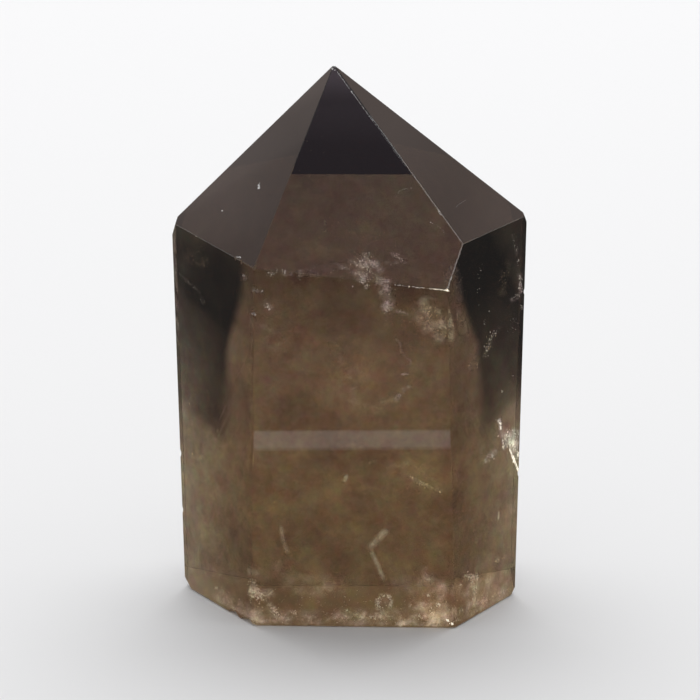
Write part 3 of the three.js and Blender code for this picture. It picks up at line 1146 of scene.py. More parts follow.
    milky: ClassVar[tuple[Veil, ...]] = (
        # The white patch below the front face's top edge, and the specks round it.
        Veil(trail=((366, 262), (366, 282)), spread=3.2, count=60, depth=(2.0, 3.4), size=(0.04, 0.11)),
        Veil(trail=((357, 267), (376, 268)), spread=5.5, count=110, depth=(2.0, 3.0), size=(0.03, 0.08)),
        Veil(trail=((362, 258), (369, 258)), spread=4.0, count=50, depth=(2.0, 2.4), size=(0.03, 0.07)),
        Veil(trail=((367, 285.5),), spread=0.8, count=6, depth=(2.6, 2.6), size=(0.05, 0.09)),
        Veil(trail=((352.5, 286.5),), spread=0.3, count=2, depth=(1.5, 1.5), size=(0.07, 0.10)),
        Veil(trail=((339, 266), (346, 268)), spread=1.4, count=12, depth=(2.2, 2.2), size=(0.03, 0.07)),
        Veil(
            trail=((392, 254.5), (397, 255.5), (401, 259), (403, 262)), spread=1.3, count=36,
            depth=(3.0, 3.2), size=(0.04, 0.08),
        ),
        Veil(trail=((389, 263), (410, 261)), spread=1.8, count=10, depth=(3.0, 3.2), size=(0.04, 0.07)),
        # Trail from the patch down.
        Veil(
            trail=((378, 279), (386, 284), (389, 297), (385, 311)), spread=2.4, count=130, depth=(3.0, 5.0),
            size=(0.03, 0.07),
        ),
        Veil(trail=((385.8, 311.7),), spread=0.7, count=6, depth=(5.0, 5.0), size=(0.05, 0.09)),
        Veil(trail=((400, 311), (404, 313)), spread=1.0, count=8, depth=(5.0, 5.0), size=(0.03, 0.06)),
        # Specks to the left of it.
        Veil(
            trail=((345, 270), (322, 271), (300, 275)), spread=4.0, count=18, depth=(2.5, 3.5),
            size=(0.03, 0.07),
        ),
        Veil(
            trail=((290, 274), (275, 272), (268, 275)), spread=1.8, count=16, depth=(1.0, 1.6),
            size=(0.04, 0.10), turn=80,
        ),
        Veil(trail=((262, 291),), spread=0.5, count=4, depth=(1.0, 1.0), size=(0.06, 0.10)),
        Veil(trail=((255.3, 314.5),), spread=0.4, count=4, depth=(0.50, 0.50), size=(0.07, 0.11)),
        Veil(trail=((266, 305), (271, 309)), spread=1.4, count=14, depth=(1.4, 1.8), size=(0.04, 0.09)),
        Veil(trail=((255, 290), (258, 290)), spread=1.2, count=8, depth=(0.8, 1.0), size=(0.03, 0.06)),
        Veil(trail=((243.3, 276),), spread=0.9, count=8, depth=(0.37, 0.37), size=(0.06, 0.11)),
        Veil(trail=((236.2, 256.3),), spread=0.5, count=4, depth=(0.31, 0.31), size=(0.07, 0.11)),
        Veil(trail=((240.5, 258),), spread=0.5, count=4, depth=(0.31, 0.31), size=(0.07, 0.11)),
        # Thin line across the top of the left face.
        Veil(
            trail=((180, 274), (189, 283), (198, 290), (203, 297), (203, 303)), spread=0.9, count=24,
            depth=(3.0, 5.0), size=(0.025, 0.045),
        ),
        Veil(trail=((202.5, 301),), spread=1.8, count=9, depth=(5.0, 5.0), size=(0.03, 0.06)),
        Veil(trail=((195.7, 236),), spread=0.4, count=3, depth=(1.0, 1.0), size=(0.06, 0.09)),
        # Flecks along the right edge of the right face.
        Veil(trail=((518, 260), (518, 265)), spread=0.7, count=7, depth=(1.2, 1.4), size=(0.05, 0.11)),
        Veil(
            trail=((520, 277), (521, 284), (520, 291)), spread=0.9, count=26, depth=(1.0, 1.4),
            size=(0.05, 0.12), stretch=1.8, turn=10,
        ),
        Veil(trail=((518, 295), (514, 299)), spread=1.2, count=14, depth=(1.2, 2.0), size=(0.04, 0.08)),
        Veil(trail=((521, 304), (523, 311)), spread=0.7, count=10, depth=(0.50, 0.50), size=(0.04, 0.09)),
        Veil(trail=((513.6, 236.4), (517, 252)), spread=1.0, count=8, depth=(1.2, 1.4), size=(0.03, 0.07)),
        Veil(trail=((517, 320), (510, 333)), spread=2.0, count=12, depth=(1.5, 3.0), size=(0.03, 0.06)),
        # Slanting trail in the right face.
        Veil(
            trail=((497, 329), (490, 340), (485, 356)), spread=1.6, count=26, depth=(3.0, 5.0),
            size=(0.04, 0.11), stretch=1.8, turn=25,
        ),
        Veil(trail=((487, 351),), spread=0.4, count=4, depth=(4.0, 4.0), size=(0.07, 0.11)),
        Veil(trail=((495.5, 333),), spread=0.4, count=4, depth=(4.0, 4.0), size=(0.06, 0.10)),
        Veil(trail=((490, 339.5),), spread=0.5, count=5, depth=(4.0, 4.0), size=(0.06, 0.10)),
        Veil(
            trail=((483, 262), (478, 284), (476, 304)), spread=1.6, count=10, depth=(2.5, 3.5),
            size=(0.04, 0.08),
        ),
        Veil(trail=((489.7, 311),), spread=0.6, count=4, depth=(3.0, 3.0), size=(0.05, 0.09)),
        Veil(trail=((484, 321), (483, 327)), spread=0.8, count=7, depth=(3.0, 3.0), size=(0.04, 0.07)),
        Veil(trail=((502, 390), (502.5, 393)), spread=0.6, count=5, depth=(2.4, 2.4), size=(0.05, 0.09)),
        Veil(trail=((512.9, 375),), spread=0.5, count=3, depth=(1.6, 1.6), size=(0.05, 0.07)),
    )
    warm: ClassVar[tuple[Veil, ...]] = (
        # Golden cluster at the right of the front face.
        Veil(trail=((424, 308), (436, 330)), spread=5.5, count=90, depth=(2.5, 3.5), size=(0.03, 0.07)),
        Veil(trail=((430, 313),), spread=2.5, count=16, depth=(2.5, 2.5), size=(0.04, 0.08)),
        Veil(trail=((441, 322), (444, 336)), spread=3.0, count=24, depth=(3.0, 3.0), size=(0.03, 0.07)),
        Veil(trail=((456, 317), (460, 322)), spread=1.4, count=10, depth=(4.0, 4.0), size=(0.04, 0.07)),
        Veil(trail=((399, 345), (401, 353)), spread=0.9, count=14, depth=(4.0, 4.0), size=(0.03, 0.07)),
        Veil(trail=((336.7, 346),), spread=0.7, count=5, depth=(3.0, 3.0), size=(0.04, 0.06)),
        # Wisps in the middle of the front face, above and below the bright band.
        Veil(trail=((360, 403), (380, 410)), spread=5.0, count=20, depth=(3.0, 3.0), size=(0.015, 0.03)),
        Veil(trail=((386, 400), (395, 397)), spread=2.0, count=14, depth=(3.0, 3.0), size=(0.015, 0.035)),
        Veil(trail=((370, 463), (374, 461)), spread=0.6, count=8, depth=(3.0, 3.0), size=(0.04, 0.07)),
        Veil(
            trail=((410, 477), (425, 485), (440, 491)), spread=1.0, count=22, depth=(3.0, 3.0),
            size=(0.04, 0.08), stretch=1.6, turn=-60,
        ),
        Veil(trail=((440, 491.5),), spread=0.4, count=4, depth=(3.0, 3.0), size=(0.07, 0.11)),
        Veil(trail=((395, 466), (425, 480)), spread=9.0, count=50, depth=(2.5, 3.5), size=(0.03, 0.06)),
        # Left and right faces.
        Veil(trail=((192.7, 454),), spread=0.5, count=4, depth=(1.5, 1.5), size=(0.06, 0.10)),
        Veil(trail=((201, 457.5),), spread=0.8, count=7, depth=(1.5, 1.5), size=(0.06, 0.10)),
        Veil(trail=((189, 404),), spread=0.5, count=3, depth=(1.5, 1.5), size=(0.05, 0.07)),
        Veil(trail=((503.6, 558),), spread=0.5, count=3, depth=(1.2, 1.2), size=(0.05, 0.07)),
        Veil(trail=((495.7, 561.4),), spread=0.5, count=4, depth=(1.4, 1.4), size=(0.06, 0.10)),
        Veil(trail=((476, 362), (476, 367)), spread=1.2, count=12, depth=(2.0, 2.0), size=(0.04, 0.07)),
        Veil(trail=((469.3, 365.7),), spread=1.0, count=8, depth=(2.0, 2.0), size=(0.04, 0.07)),
        Veil(trail=((192, 256), (202, 262)), spread=4.0, count=16, depth=(4.0, 5.0), size=(0.03, 0.06)),
        Veil(
            trail=((496, 331), (490, 341), (486, 353)), spread=1.8, count=26, depth=(3.0, 5.0),
            size=(0.04, 0.12),
        ),
        Veil(trail=((505, 272), (502, 288)), spread=2.2, count=22, depth=(4.0, 5.0), size=(0.03, 0.06)),
    )
    crust: ClassVar[tuple[Veil, ...]] = (
        # Crust on the ground foot and along its edges, where the stone was sawn from its matrix.
        Veil(
            trail=((252, 584), (258, 595), (268, 600)), spread=3.4, count=110, depth=(1.5, 3.0),
            size=(0.04, 0.12),
        ),
        Veil(trail=((256, 595), (264, 598)), spread=2.0, count=34, depth=(1.2, 1.6), size=(0.06, 0.14)),
        Veil(
            trail=((216, 588),), spread=0.6, count=5, depth=(0.48, 0.48), size=(0.07, 0.11), stretch=2.0,
            turn=0,
        ),
        Veil(
            trail=((226, 600), (244, 612), (256, 620)), spread=4.5, count=130, depth=(2.0, 2.0),
            size=(0.04, 0.09),
        ),
        Veil(
            trail=((272, 607), (277, 614), (282, 620)), spread=2.0, count=44, depth=(1.2, 1.6),
            size=(0.05, 0.12), stretch=1.6, turn=-20,
        ),
        Veil(trail=((292, 611), (296, 614)), spread=1.0, count=14, depth=(1.0, 1.0), size=(0.05, 0.10)),
        Veil(trail=((332, 619), (340, 622)), spread=1.4, count=12, depth=(1.0, 1.0), size=(0.04, 0.07)),
        Veil(trail=((347, 610),), spread=0.6, count=5, depth=(1.0, 1.0), size=(0.06, 0.09)),
        # Loop of crust right of the middle.
        Veil(
            trail=((378, 607), (378, 600), (382, 596), (389, 596), (392, 601)), spread=0.9, count=58,
            depth=(1.4, 1.4), size=(0.05, 0.10),
        ),
        Veil(trail=((378, 607), (383, 609)), spread=0.9, count=14, depth=(1.4, 1.4), size=(0.04, 0.08)),
        Veil(trail=((370, 616), (375, 619)), spread=0.8, count=16, depth=(0.54, 0.54), size=(0.05, 0.11)),
        Veil(trail=((410, 606),), spread=0.8, count=7, depth=(1.0, 1.0), size=(0.04, 0.08)),
        Veil(trail=((428.5, 595.5),), spread=0.7, count=8, depth=(1.2, 1.2), size=(0.06, 0.10)),
        Veil(trail=((424, 576), (430, 580)), spread=2.0, count=16, depth=(3.0, 3.0), size=(0.04, 0.07)),
        Veil(
            trail=((418, 615), (423, 618)), spread=0.8, count=14, depth=(0.48, 0.48), size=(0.05, 0.10),
            stretch=1.8, turn=-50,
        ),
        Veil(
            trail=((431, 606), (431, 613)), spread=0.8, count=14, depth=(0.48, 0.48), size=(0.05, 0.10),
            stretch=1.8, turn=0,
        ),
        Veil(trail=((438, 605),), spread=1.6, count=20, depth=(1.2, 1.2), size=(0.05, 0.10)),
        # Patch, streak and grey spot in the foot of the right face.
        Veil(trail=((466, 576), (478, 576)), spread=1.8, count=56, depth=(1.2, 1.6), size=(0.05, 0.12)),
        Veil(trail=((470, 578), (474, 590)), spread=1.4, count=36, depth=(1.2, 1.4), size=(0.05, 0.10)),
        Veil(
            trail=((475, 586), (474, 605)), spread=0.9, count=44, depth=(1.2, 1.2), size=(0.05, 0.11),
            stretch=2.0, turn=0,
        ),
        Veil(trail=((485, 600),), spread=2.6, count=34, depth=(1.0, 1.4), size=(0.04, 0.10)),
        Veil(trail=((460.5, 585),), spread=0.8, count=8, depth=(1.0, 1.0), size=(0.05, 0.09)),
        Veil(trail=((491, 598), (499, 592)), spread=1.0, count=12, depth=(0.54, 0.54), size=(0.04, 0.08)),
        # Fine crust all along the foot.
        Veil(trail=((262, 618), (452, 619)), spread=3.5, count=150, depth=(1.4, 1.4), size=(0.025, 0.07)),
        Veil(trail=((250, 604), (450, 604)), spread=8.0, count=170, depth=(3.0, 3.0), size=(0.025, 0.06)),
        Veil(trail=((456, 616), (508, 590)), spread=5.0, count=60, depth=(1.6, 1.6), size=(0.025, 0.06)),
    )
    crack: ClassVar[tuple[Veil, ...]] = (
        # Healed crack at the right edge: films that stand on end, and the bright line where it comes out.
        Veil(
            trail=((499.8, 421.5), (500.8, 425), (500.5, 429)), spread=0.5, count=26, depth=(0.45, 0.60),
            size=(0.05, 0.13), stretch=2.2, turn=0,
        ),
        Veil(
            trail=((495.5, 418.5), (499, 423)), spread=0.5, count=7, depth=(1.0, 0.8), size=(0.04, 0.09),
            stretch=1.8, turn=40,
        ),
        Veil(
            trail=((506, 436), (513, 442), (518, 450)), spread=3.6, count=240, depth=(0.60, 0.38),
            size=(0.04, 0.12), stretch=2.4, turn=4,
        ),
        Veil(
            trail=((518, 433), (518.5, 440)), spread=1.0, count=20, depth=(0.30, 0.30), size=(0.06, 0.15),
            stretch=2.0, turn=0,
        ),
        Veil(
            trail=((510.7, 443.6),), spread=1.0, count=12, depth=(0.45, 0.45), size=(0.08, 0.17), stretch=2.0,
            turn=4,
        ),
        Veil(
            trail=((503, 442), (503, 449)), spread=0.6, count=8, depth=(0.60, 0.60), size=(0.05, 0.12),
            stretch=2.2, turn=0,
        ),
        Veil(
            trail=((518.3, 454.3),), spread=0.7, count=10, depth=(0.30, 0.30), size=(0.09, 0.18), stretch=1.8,
            turn=0,
        ),
        Veil(trail=((489, 458), (493, 455)), spread=1.6, count=22, depth=(1.6, 1.6), size=(0.05, 0.11)),
    )
    haze: ClassVar[tuple[Veil, ...]] = (
        # Thin clouds of the finest specks.
        Veil(
            trail=((345, 345), (355, 395)), spread=14.0, count=330, depth=(8.0, 12.0), size=(0.03, 0.06),
            thickness=1.5,
        ),
        Veil(
            trail=((385, 300), (420, 345)), spread=12.0, count=240, depth=(8.0, 10.0), size=(0.03, 0.06),
            thickness=1.5,
        ),
        Veil(
            trail=((300, 300), (280, 380)), spread=14.0, count=160, depth=(9.0, 12.0), size=(0.03, 0.06),
            thickness=1.5,
        ),
        Veil(
            trail=((270, 500), (310, 560)), spread=14.0, count=150, depth=(8.0, 10.0), size=(0.03, 0.06),
            thickness=1.5,
        ),
        Veil(
            trail=((400, 480), (420, 560)), spread=16.0, count=220, depth=(8.0, 10.0), size=(0.03, 0.06),
            thickness=1.5,
        ),
        Veil(
            trail=((330, 575), (430, 585)), spread=10.0, count=150, depth=(6.0, 8.0), size=(0.03, 0.06),
            thickness=1.0,
        ),
        Veil(
            trail=((200, 480), (225, 580)), spread=12.0, count=170, depth=(5.0, 7.0), size=(0.03, 0.06),
            thickness=1.0,
        ),
        Veil(
            trail=((495, 470), (485, 580)), spread=10.0, count=170, depth=(5.0, 7.0), size=(0.03, 0.06),
            thickness=1.0,
        ),
        Veil(trail=((452, 268), (460, 296)), spread=4.0, count=50, depth=(2.0, 4.0), size=(0.04, 0.07)),
        Veil(
            trail=((325, 220), (360, 235), (424, 268)), spread=10.0, count=70, depth=(6.0, 8.0),
            size=(0.03, 0.06),
        ),
        Veil(trail=((324.5, 219), (325.5, 224)), spread=0.7, count=16, depth=(1.0, 1.0), size=(0.05, 0.11)),
        Veil(trail=((325, 231),), spread=0.9, count=9, depth=(1.0, 1.0), size=(0.05, 0.09)),
        Veil(trail=((310, 235), (305, 118)), spread=16.0, count=24, depth=(2.0, 4.0), size=(0.03, 0.07)),
    )
    bruises_and_edge_highlights: ClassVar[tuple[Veil, ...]] = (
        # White flecks on the edges and faces: bruised spots, and painted highlight lines along the ridge of
        # the point and the front face's top edges.
        Veil(
            trail=((337.5, 72.2), (373, 121.4)), spread=0.15, count=150, size=(0.025, 0.045), stretch=2.2,
            turn=-36,
        ),
        Veil(
            trail=((373, 121.4), (404.5, 165.3)), spread=0.15, count=90, size=(0.012, 0.024), stretch=2.2,
            turn=-36,
        ),
        Veil(trail=((438, 210), (441.5, 216)), spread=0.4, count=12, size=(0.03, 0.07)),
        Veil(trail=((430.5, 222.5),), spread=0.4, count=3, size=(0.03, 0.06)),
        # Hair scratches on the faces of the point.
        Veil(
            trail=((396.5, 196), (399, 191), (405, 189), (413, 188)), spread=0.2, count=40,
            size=(0.01, 0.018),
        ),
        Veil(trail=((456, 207), (461, 203), (466, 200)), spread=0.2, count=20, size=(0.012, 0.024)),
        Veil(trail=((432, 224), (439, 226), (444, 232)), spread=0.6, count=22, size=(0.012, 0.03)),
        Veil(trail=((331, 68), (336, 70)), spread=0.5, count=7, size=(0.04, 0.09)),
        # Painted highlight lines along the front face's top edge and the edge that runs down to its right
        # corner.
        Veil(
            trail=((424, 288), (392, 284.6)), spread=0.25, count=30, size=(0.03, 0.065), stretch=2.2, turn=88,
        ),
        Veil(
            trail=((452, 276), (448.2, 289)), spread=0.25, count=18, size=(0.03, 0.06), stretch=2.2, turn=-18,
        ),
        Veil(trail=((259, 184.5), (259, 189)), spread=0.6, count=12, size=(0.06, 0.15), stretch=1.6, turn=0),
        Veil(trail=((222, 210.5),), spread=0.4, count=4, size=(0.06, 0.12)),
        Veil(trail=((237, 256.5), (241, 258)), spread=0.4, count=8, size=(0.04, 0.1)),
    )

    # Painted highlights on the surface, as glowing pale flakes.
    glints: ClassVar[tuple[Veil, ...]] = (
        # The front face's top edge, up to its right corner.
        Veil(trail=((447.3, 290.4),), spread=0.6, count=14, size=(0.07, 0.15)),
        Veil(
            trail=((447, 290.2), (431, 288.9)), spread=0.25, count=44, size=(0.03, 0.065), stretch=2.2,
            turn=86,
        ),
        Veil(
            trail=((431, 288.9), (416, 287.4)), spread=0.25, count=9, size=(0.03, 0.06), stretch=2.2, turn=86,
        ),
        Veil(trail=((409, 286.4),), spread=0.3, count=3, size=(0.04, 0.08)),
        # Painted highlights on the chips at the right corner of the foot.
        Veil(trail=((447, 619.6), (449, 621.2)), spread=0.5, count=12, size=(0.06, 0.14)),
        Veil(trail=((451, 623), (453, 624.2)), spread=0.5, count=12, size=(0.06, 0.13)),
        # Painted highlights along the right edge.
        Veil(trail=((519.8, 275), (520.2, 283), (519.4, 291)), spread=0.5, count=11, size=(0.03, 0.07)),
        Veil(trail=((518.4, 261),), spread=0.4, count=3, size=(0.03, 0.06)),
        Veil(trail=((521.3, 305), (521.6, 311)), spread=0.3, count=4, size=(0.03, 0.06)),
        # Painted highlight where the healed crack comes out at the right edge.
        Veil(
            trail=((509.3, 448.6), (514.2, 460), (518.3, 471)), spread=0.35, count=110, size=(0.06, 0.15),
            stretch=2.4, turn=-22,
        ),
        Veil(
            trail=((512.5, 455), (514.8, 462)), spread=0.7, count=40, size=(0.07, 0.18), stretch=2.2,
            turn=-22,
        ),
        Veil(
            trail=((498.6, 421), (501.0, 425), (500.8, 430)), spread=0.4, count=22, size=(0.05, 0.13),
            stretch=2.2, turn=-8,
        ),
        Veil(
            trail=((518.4, 452), (518.4, 456)), spread=0.4, count=12, size=(0.05, 0.13), stretch=2.2, turn=0,
        ),
        Veil(trail=((503.0, 446), (503.2, 449)), spread=0.3, count=5, size=(0.05, 0.1), stretch=2.2, turn=0),
    )

    def build(self) -> list[bpy.types.Object]:
        """Builds one object for each kind of inclusion."""
        flakes = Flakes(random.Random(11))
        kinds = (
            ("milky_veil", self.white, self.milky, 1, False),
            ("warm_veil", self.golden, self.warm, 2, False),
            ("foot_crust", self.cream, self.crust, 3, False),
            ("healed_crack", self.film, self.crack, 4, False),
            ("fine_haze", self.mist, self.haze, 5, False),
            ("bruises_and_painted_edge_highlights", self.bruise_and_highlight, self.bruises_and_edge_highlights, 7, True),
            ("surface_glints", self.glint_glow, self.glints, 8, True),
        )
        specks = [
            Growth(name, finish, veils, self.inside, flakes, seed, on_surface).build()
            for name, finish, veils, seed, on_surface in kinds
        ]
        mists = (
            ("white_mist", self.mist_white, self.white_films),
            ("olive_mist", self.mist_warm, self.olive_films),
            ("satin_wisps", self.mist_smooth, self.satin_films),
            ("crust_mist", self.mist_crust, self.crust_films),
            ("silver_mist", self.mist_silver, self.silver_films),
            ("foot_mist", self.mist_soft, self.foot_films),
        )
        return specks + [Mist(name, finish, films, self.inside).build() for name, finish, films in mists]


# The studio


def level(stops: tuple[tuple[float, ...], ...], at: float) -> list[float]:
    """Reads a table of stops at one place.

    Args:
        stops: Rows of a place and the values there, in order.
        at: The place.

    Returns:
        The values at that place.
    """
    for low, high in zip(stops, stops[1:]):
        if at <= high[0]:
            share = max(0.0, (at - low[0]) / (high[0] - low[0]))
            return [a + (b - a) * share for a, b in zip(low[1:], high[1:])]
    return list(stops[-1][1:])


def metres(stops: tuple[tuple[float, float], ...]) -> tuple[tuple[float, float], ...]:
    """Turns the places in a table of light from mm into metres."""
    return tuple((place * MM, light) for place, light in stops)


def eased(value: float) -> float:
    """Eases a value that grows from 0 to 1."""
    value = min(max(value, 0.0), 1.0)
    return value * value * (3 - 2 * value)


class Ray(Enum):
    """Kinds of ray that can see a card."""

    CAMERA = "camera"
    DIFFUSE = "diffuse"
    GLOSSY = "glossy"
    TRANSMISSION = "transmission"
    SCATTER = "volume_scatter"
    SHADOW = "shadow"


@dataclass(frozen=True)
class Strip:
    """Bright strip on the table that the upright faces mirror: its middle, or its dimmer border.

    It reaches this much further out than the strip's edges, and lies at this height. Both are in mm.
    """

    name: str
    glow: float
    wider: float
    height: float


@dataclass(frozen=True)
class Wall:
    """Soft wall that a face of the point mirrors: two opposite corners, and its light by height and depth.

    All sizes are in mm. The light was set so that the face gets the tones that it has in the photograph.
    """

    name: str
    low: tuple[float, float, float]
    high: tuple[float, float, float]
    tint: str
    by_height: tuple[tuple[float, float], ...]
    by_depth: tuple[tuple[float, float], ...] = ()


@dataclass(frozen=True)
class Screen:
    """Bright screen behind the stone: how far it reaches from left to right in mm, and its light."""

    name: str
    span: tuple[float, float]
    glow: float


@dataclass(frozen=True)
class Lamp:
    """Rectangular lamp that faces the stone: its place, its width and height, and how bright its face is."""

    name: str
    at: Vector
    size: tuple[float, float]
    radiance: float


@dataclass(frozen=True)
class Flag:
    """Glowing grey sheet that leans beside the stone, seen only through a side face: painted shade and light
    for that face. All sizes are in mm.

    Its outline and its light were set so that the face gets the tones that it has in the photograph.
    """

    name: str
    side: int
    # Height, then the depth where it begins and how softly, and the depth where it ends and how softly.
    outline: tuple[tuple[float, float, float, float, float], ...]
    glow: float
    by_height: tuple[tuple[float, float], ...] = ()
    by_depth: tuple[tuple[float, float], ...] = ()
    foot_fade: float = 2.5

    def cover(self, height: float, depth: float) -> float:
        """Finds how much of the light behind it the flag stops at a place on it."""
        begin, soft, end, soft_end = level(self.outline, height)
        sides = eased((depth - begin) / soft + 0.5) * eased((end - depth) / soft_end + 0.5)
        return sides * eased(height / self.foot_fade)


@dataclass
class Studio:
    """Pale floor, soft light, and cards that stand where the stone's faces mirror or look through to.

    The cards are placed and lit for the photograph's view of the stone, and only some kinds of ray see them.
    From other sides the stone shows them elsewhere or not at all.
    """

    floor_half: float = 3.0
    floor_gap: float = 0.03 * MM
    # The flags' lower edge is this far to the side in mm, and they lean out by this much per mm of height.
    flag_foot: float = 26.0
    flag_lean: float = 21 / 32
    flag_weave: float = 0.6
    flags: tuple[Flag, ...] = (
        Flag(
            name="right_flag",
            side=1,
            outline=(
                (0, 50.5, 7.0, 95, 2), (2, 51.5, 7.0, 95, 2), (4, 52.6, 7.0, 95, 2), (7, 54.4, 5.5, 95, 2),
                (10, 56.9, 3.6, 95, 2), (12, 58.7, 2.8, 95, 2), (14, 59.8, 2.0, 95, 2),
                (16, 60.3, 2.0, 95, 2), (18, 60.7, 2.4, 95, 2), (21, 61.3, 3.5, 95, 2),
                (24, 63.4, 3.0, 95, 2), (27, 66.0, 3.0, 95, 2),
            ),
            glow=2.0,
            by_height=(
                (0, 0.21), (2, 0.175), (4, 0.126), (6, 0.105), (8, 0.085), (10, 0.066), (12, 0.056),
                (14, 0.04), (15, 0.017), (16, 0.012), (17.5, 0.018), (20, 0.02), (22, 0.028), (25, 0.07),
            ),
            by_depth=(
                (50, 1.0), (60, 1.1), (62, 1.55), (64, 1.5), (67, 1.6), (70, 1.55), (73, 2.2), (76, 4.2),
            ),
        ),
        Flag(
            name="left_flag",
            side=-1,
            outline=(
                (0, 53.5, 6.0, 95, 2), (2, 54.5, 6.0, 95, 2), (4.5, 55.4, 5.5, 95, 2), (6, 56.4, 5.0, 95, 2),
                (8, 57.8, 4.4, 95, 2), (10, 59.2, 3.2, 95, 2), (12, 60.9, 2.4, 95, 2), (14, 61.1, 2.0, 95, 2),
                (16, 61.3, 2.0, 95, 2), (18.5, 61.9, 2.2, 95, 2), (21, 62.1, 2.6, 95, 2),
                (23, 63.3, 2.0, 95, 2), (27, 67.0, 2.0, 95, 2),
            ),
            glow=2.0,
            by_height=(
                (0, 0.28), (1, 0.23), (2, 0.18), (3, 0.16), (4.5, 0.13), (6, 0.11), (8, 0.09), (10, 0.08),
                (12, 0.075), (14, 0.062), (16, 0.04), (18, 0.022), (20, 0.021), (24, 0.032),
            ),
            by_depth=(
                (50, 1.0), (64, 1.0), (66, 0.75), (68, 0.8), (70, 0.7), (72, 0.45), (73.5, 0.4), (75.5, 2.4),
                (78, 4.0),
            ),
        ),
        Flag(
            name="right_edge_flag",
            side=1,
            outline=((0, 38.0, 1.2, 44.0, 1.2), (24, 48.4, 1.2, 54.4, 1.2)),
            glow=1.0,
            by_height=(
                (0, 0.34), (4, 0.29), (8.2, 0.23), (13, 0.22), (16, 0.13), (18, 0.12), (22, 0.19), (26, 0.22),
            ),
            foot_fade=7.0,
        ),
        Flag(
            name="left_edge_flag",
            side=-1,
            outline=((0, 35.5, 1.2, 39.5, 1.2), (24, 45.5, 1.2, 49.6, 1.2), (34, 49.7, 1.2, 53.8, 1.2)),
            glow=1.0,
            by_height=(
                (0, 0.36), (4, 0.3), (8.5, 0.11), (11, 0.03), (14, 0.012), (18, 0.05), (22, 0.08), (26, 0.07),
            ),
            foot_fade=9.0,
        ),
    )
    walls: tuple[Wall, ...] = (
        Wall(
            name="front_wall",
            low=(-30, -150, 165),
            high=(60, -150, 235),
            tint="FFEBFA",
            by_height=(
                (165, 0.42), (204, 0.4), (209, 0.42), (213, 0.52), (217, 0.6), (219, 0.58), (221, 0.72),
                (225, 1.2),
            ),
        ),
        Wall(
            name="left_wall",
            low=(-150, 40, 100),
            high=(-150, 90, 160),
            tint="FFEBE4",
            by_height=(
                (100, 0.93), (113, 0.94), (116, 0.98), (120, 1.05), (125, 1.01), (130, 0.97), (138, 0.9),
                (149, 0.97),
            ),
            by_depth=(
                (54.7, 0.74), (57, 0.84), (60, 0.9), (62, 0.95), (64, 0.99), (65.5, 1.16), (68, 1.24),
                (70, 1.28), (72, 1.5),
            ),
        ),
        Wall(
            name="right_wall",
            low=(150, 78, 132),
            high=(150, 125, 198),
            tint="FFE8DF",
            by_height=(
                (140, 0.92), (145, 0.92), (150, 0.85), (153, 0.81), (157, 0.8), (161, 0.84), (167, 0.92),
                (173, 1.0), (190, 1.02),
            ),
            by_depth=((88, 0.9), (91, 0.93), (95, 0.97), (100, 1.0), (110, 1.02)),
        ),
    )
    # The table that the upright faces mirror, and the near and far edges of its strip at the left and right
    # ends, in mm.
    table_glow: float = 0.115
    table_height: float = -0.5
    strip_half: float = 40
    strip_near: tuple[float, float] = (-73.1, -78.7)
    strip_far: tuple[float, float] = (-66.5, -72.8)
    strips: tuple[Strip, ...] = (
        Strip("mirrored_strip", glow=1.08, wider=-0.35, height=-0.2),
        Strip("mirrored_strip_edge", glow=0.6, wider=0.35, height=-0.3),
    )
    # How far behind the stone the screens hang, and from what height to what height, in mm.
    screen_depth: float = 400
    screen_rise: tuple[float, float] = (60, 450)
    screens: tuple[Screen, ...] = (
        Screen("left_screen", span=(-800, -200), glow=1.12),
        Screen("middle_screen", span=(-200, 200), glow=0.88),
        Screen("right_screen", span=(200, 800), glow=0.92),
    )
    # The soft box above, and the small lamps that the ground edges catch.
    lamps: tuple[Lamp, ...] = (
        Lamp("soft_box", Vector((0, 0.55, 0.95)), size=(1.4, 1.0), radiance=1.8),
        Lamp(
            "ridge_lamp",
            STONE_MIDDLE + Vector((0.578, -0.2, 0.79)) * LAMP_AWAY,
            size=(0.06, 0.06),
            radiance=2.7,
        ),
        Lamp(
            "corner_lamp",
            STONE_MIDDLE + Vector((0.862, -0.472, 0.185)) * LAMP_AWAY,
            size=(0.06, 0.06),
            radiance=2.2,
        ),
    )
    # Light of the room on the camera's side and on the far side, the way from one to the other, and how far
    # towards either the light goes on changing, as a share of that way.
    near_air: float = 0.42
    far_air: float = 0.95
    far_way: tuple[float, float, float] = (-0.12, 0.99, 0.0)
    air_reach: float = 0.7

    def build(self) -> None:
        """Builds the whole studio."""
        self.floor()
        self.table_in_mirror()
        self.mirrored_walls()
        self.side_cards()
        for lamp in self.lamps:
            self.light(lamp)
        self.surround()

    def card(
        self,
        name: str,
        corners: list[Vector],
        finish: CardFinish | FloorPaint,
        seen_by: set[Ray],
    ) -> bpy.types.Object:
        """Makes a flat card.

        Args:
            name: Name of the card.
            corners: Its corners, in order.
            finish: What it is made of.
            seen_by: The kinds of ray that see it.

        Returns:
            The card.
        """
        bm = bmesh.new()
        bm.faces.new([bm.verts.new(c) for c in corners])
        return self.hang(bm, name, finish, seen_by)

    @staticmethod
    def hang(
        bm: bmesh.types.BMesh, name: str, finish: CardFinish | FloorPaint, seen_by: set[Ray]
    ) -> bpy.types.Object:
        """Hangs a card in the studio.

        Args:
            bm: Its mesh, which is freed.
            name: Name of the card.
            finish: What it is made of.
            seen_by: The kinds of ray that see it.

        Returns:
            The card.
        """
        made = object_from(bm, name)
        made.data.materials.append(finish.material())
        for kind in Ray:
            setattr(made, f"visible_{kind.value}", kind in seen_by)
        return made

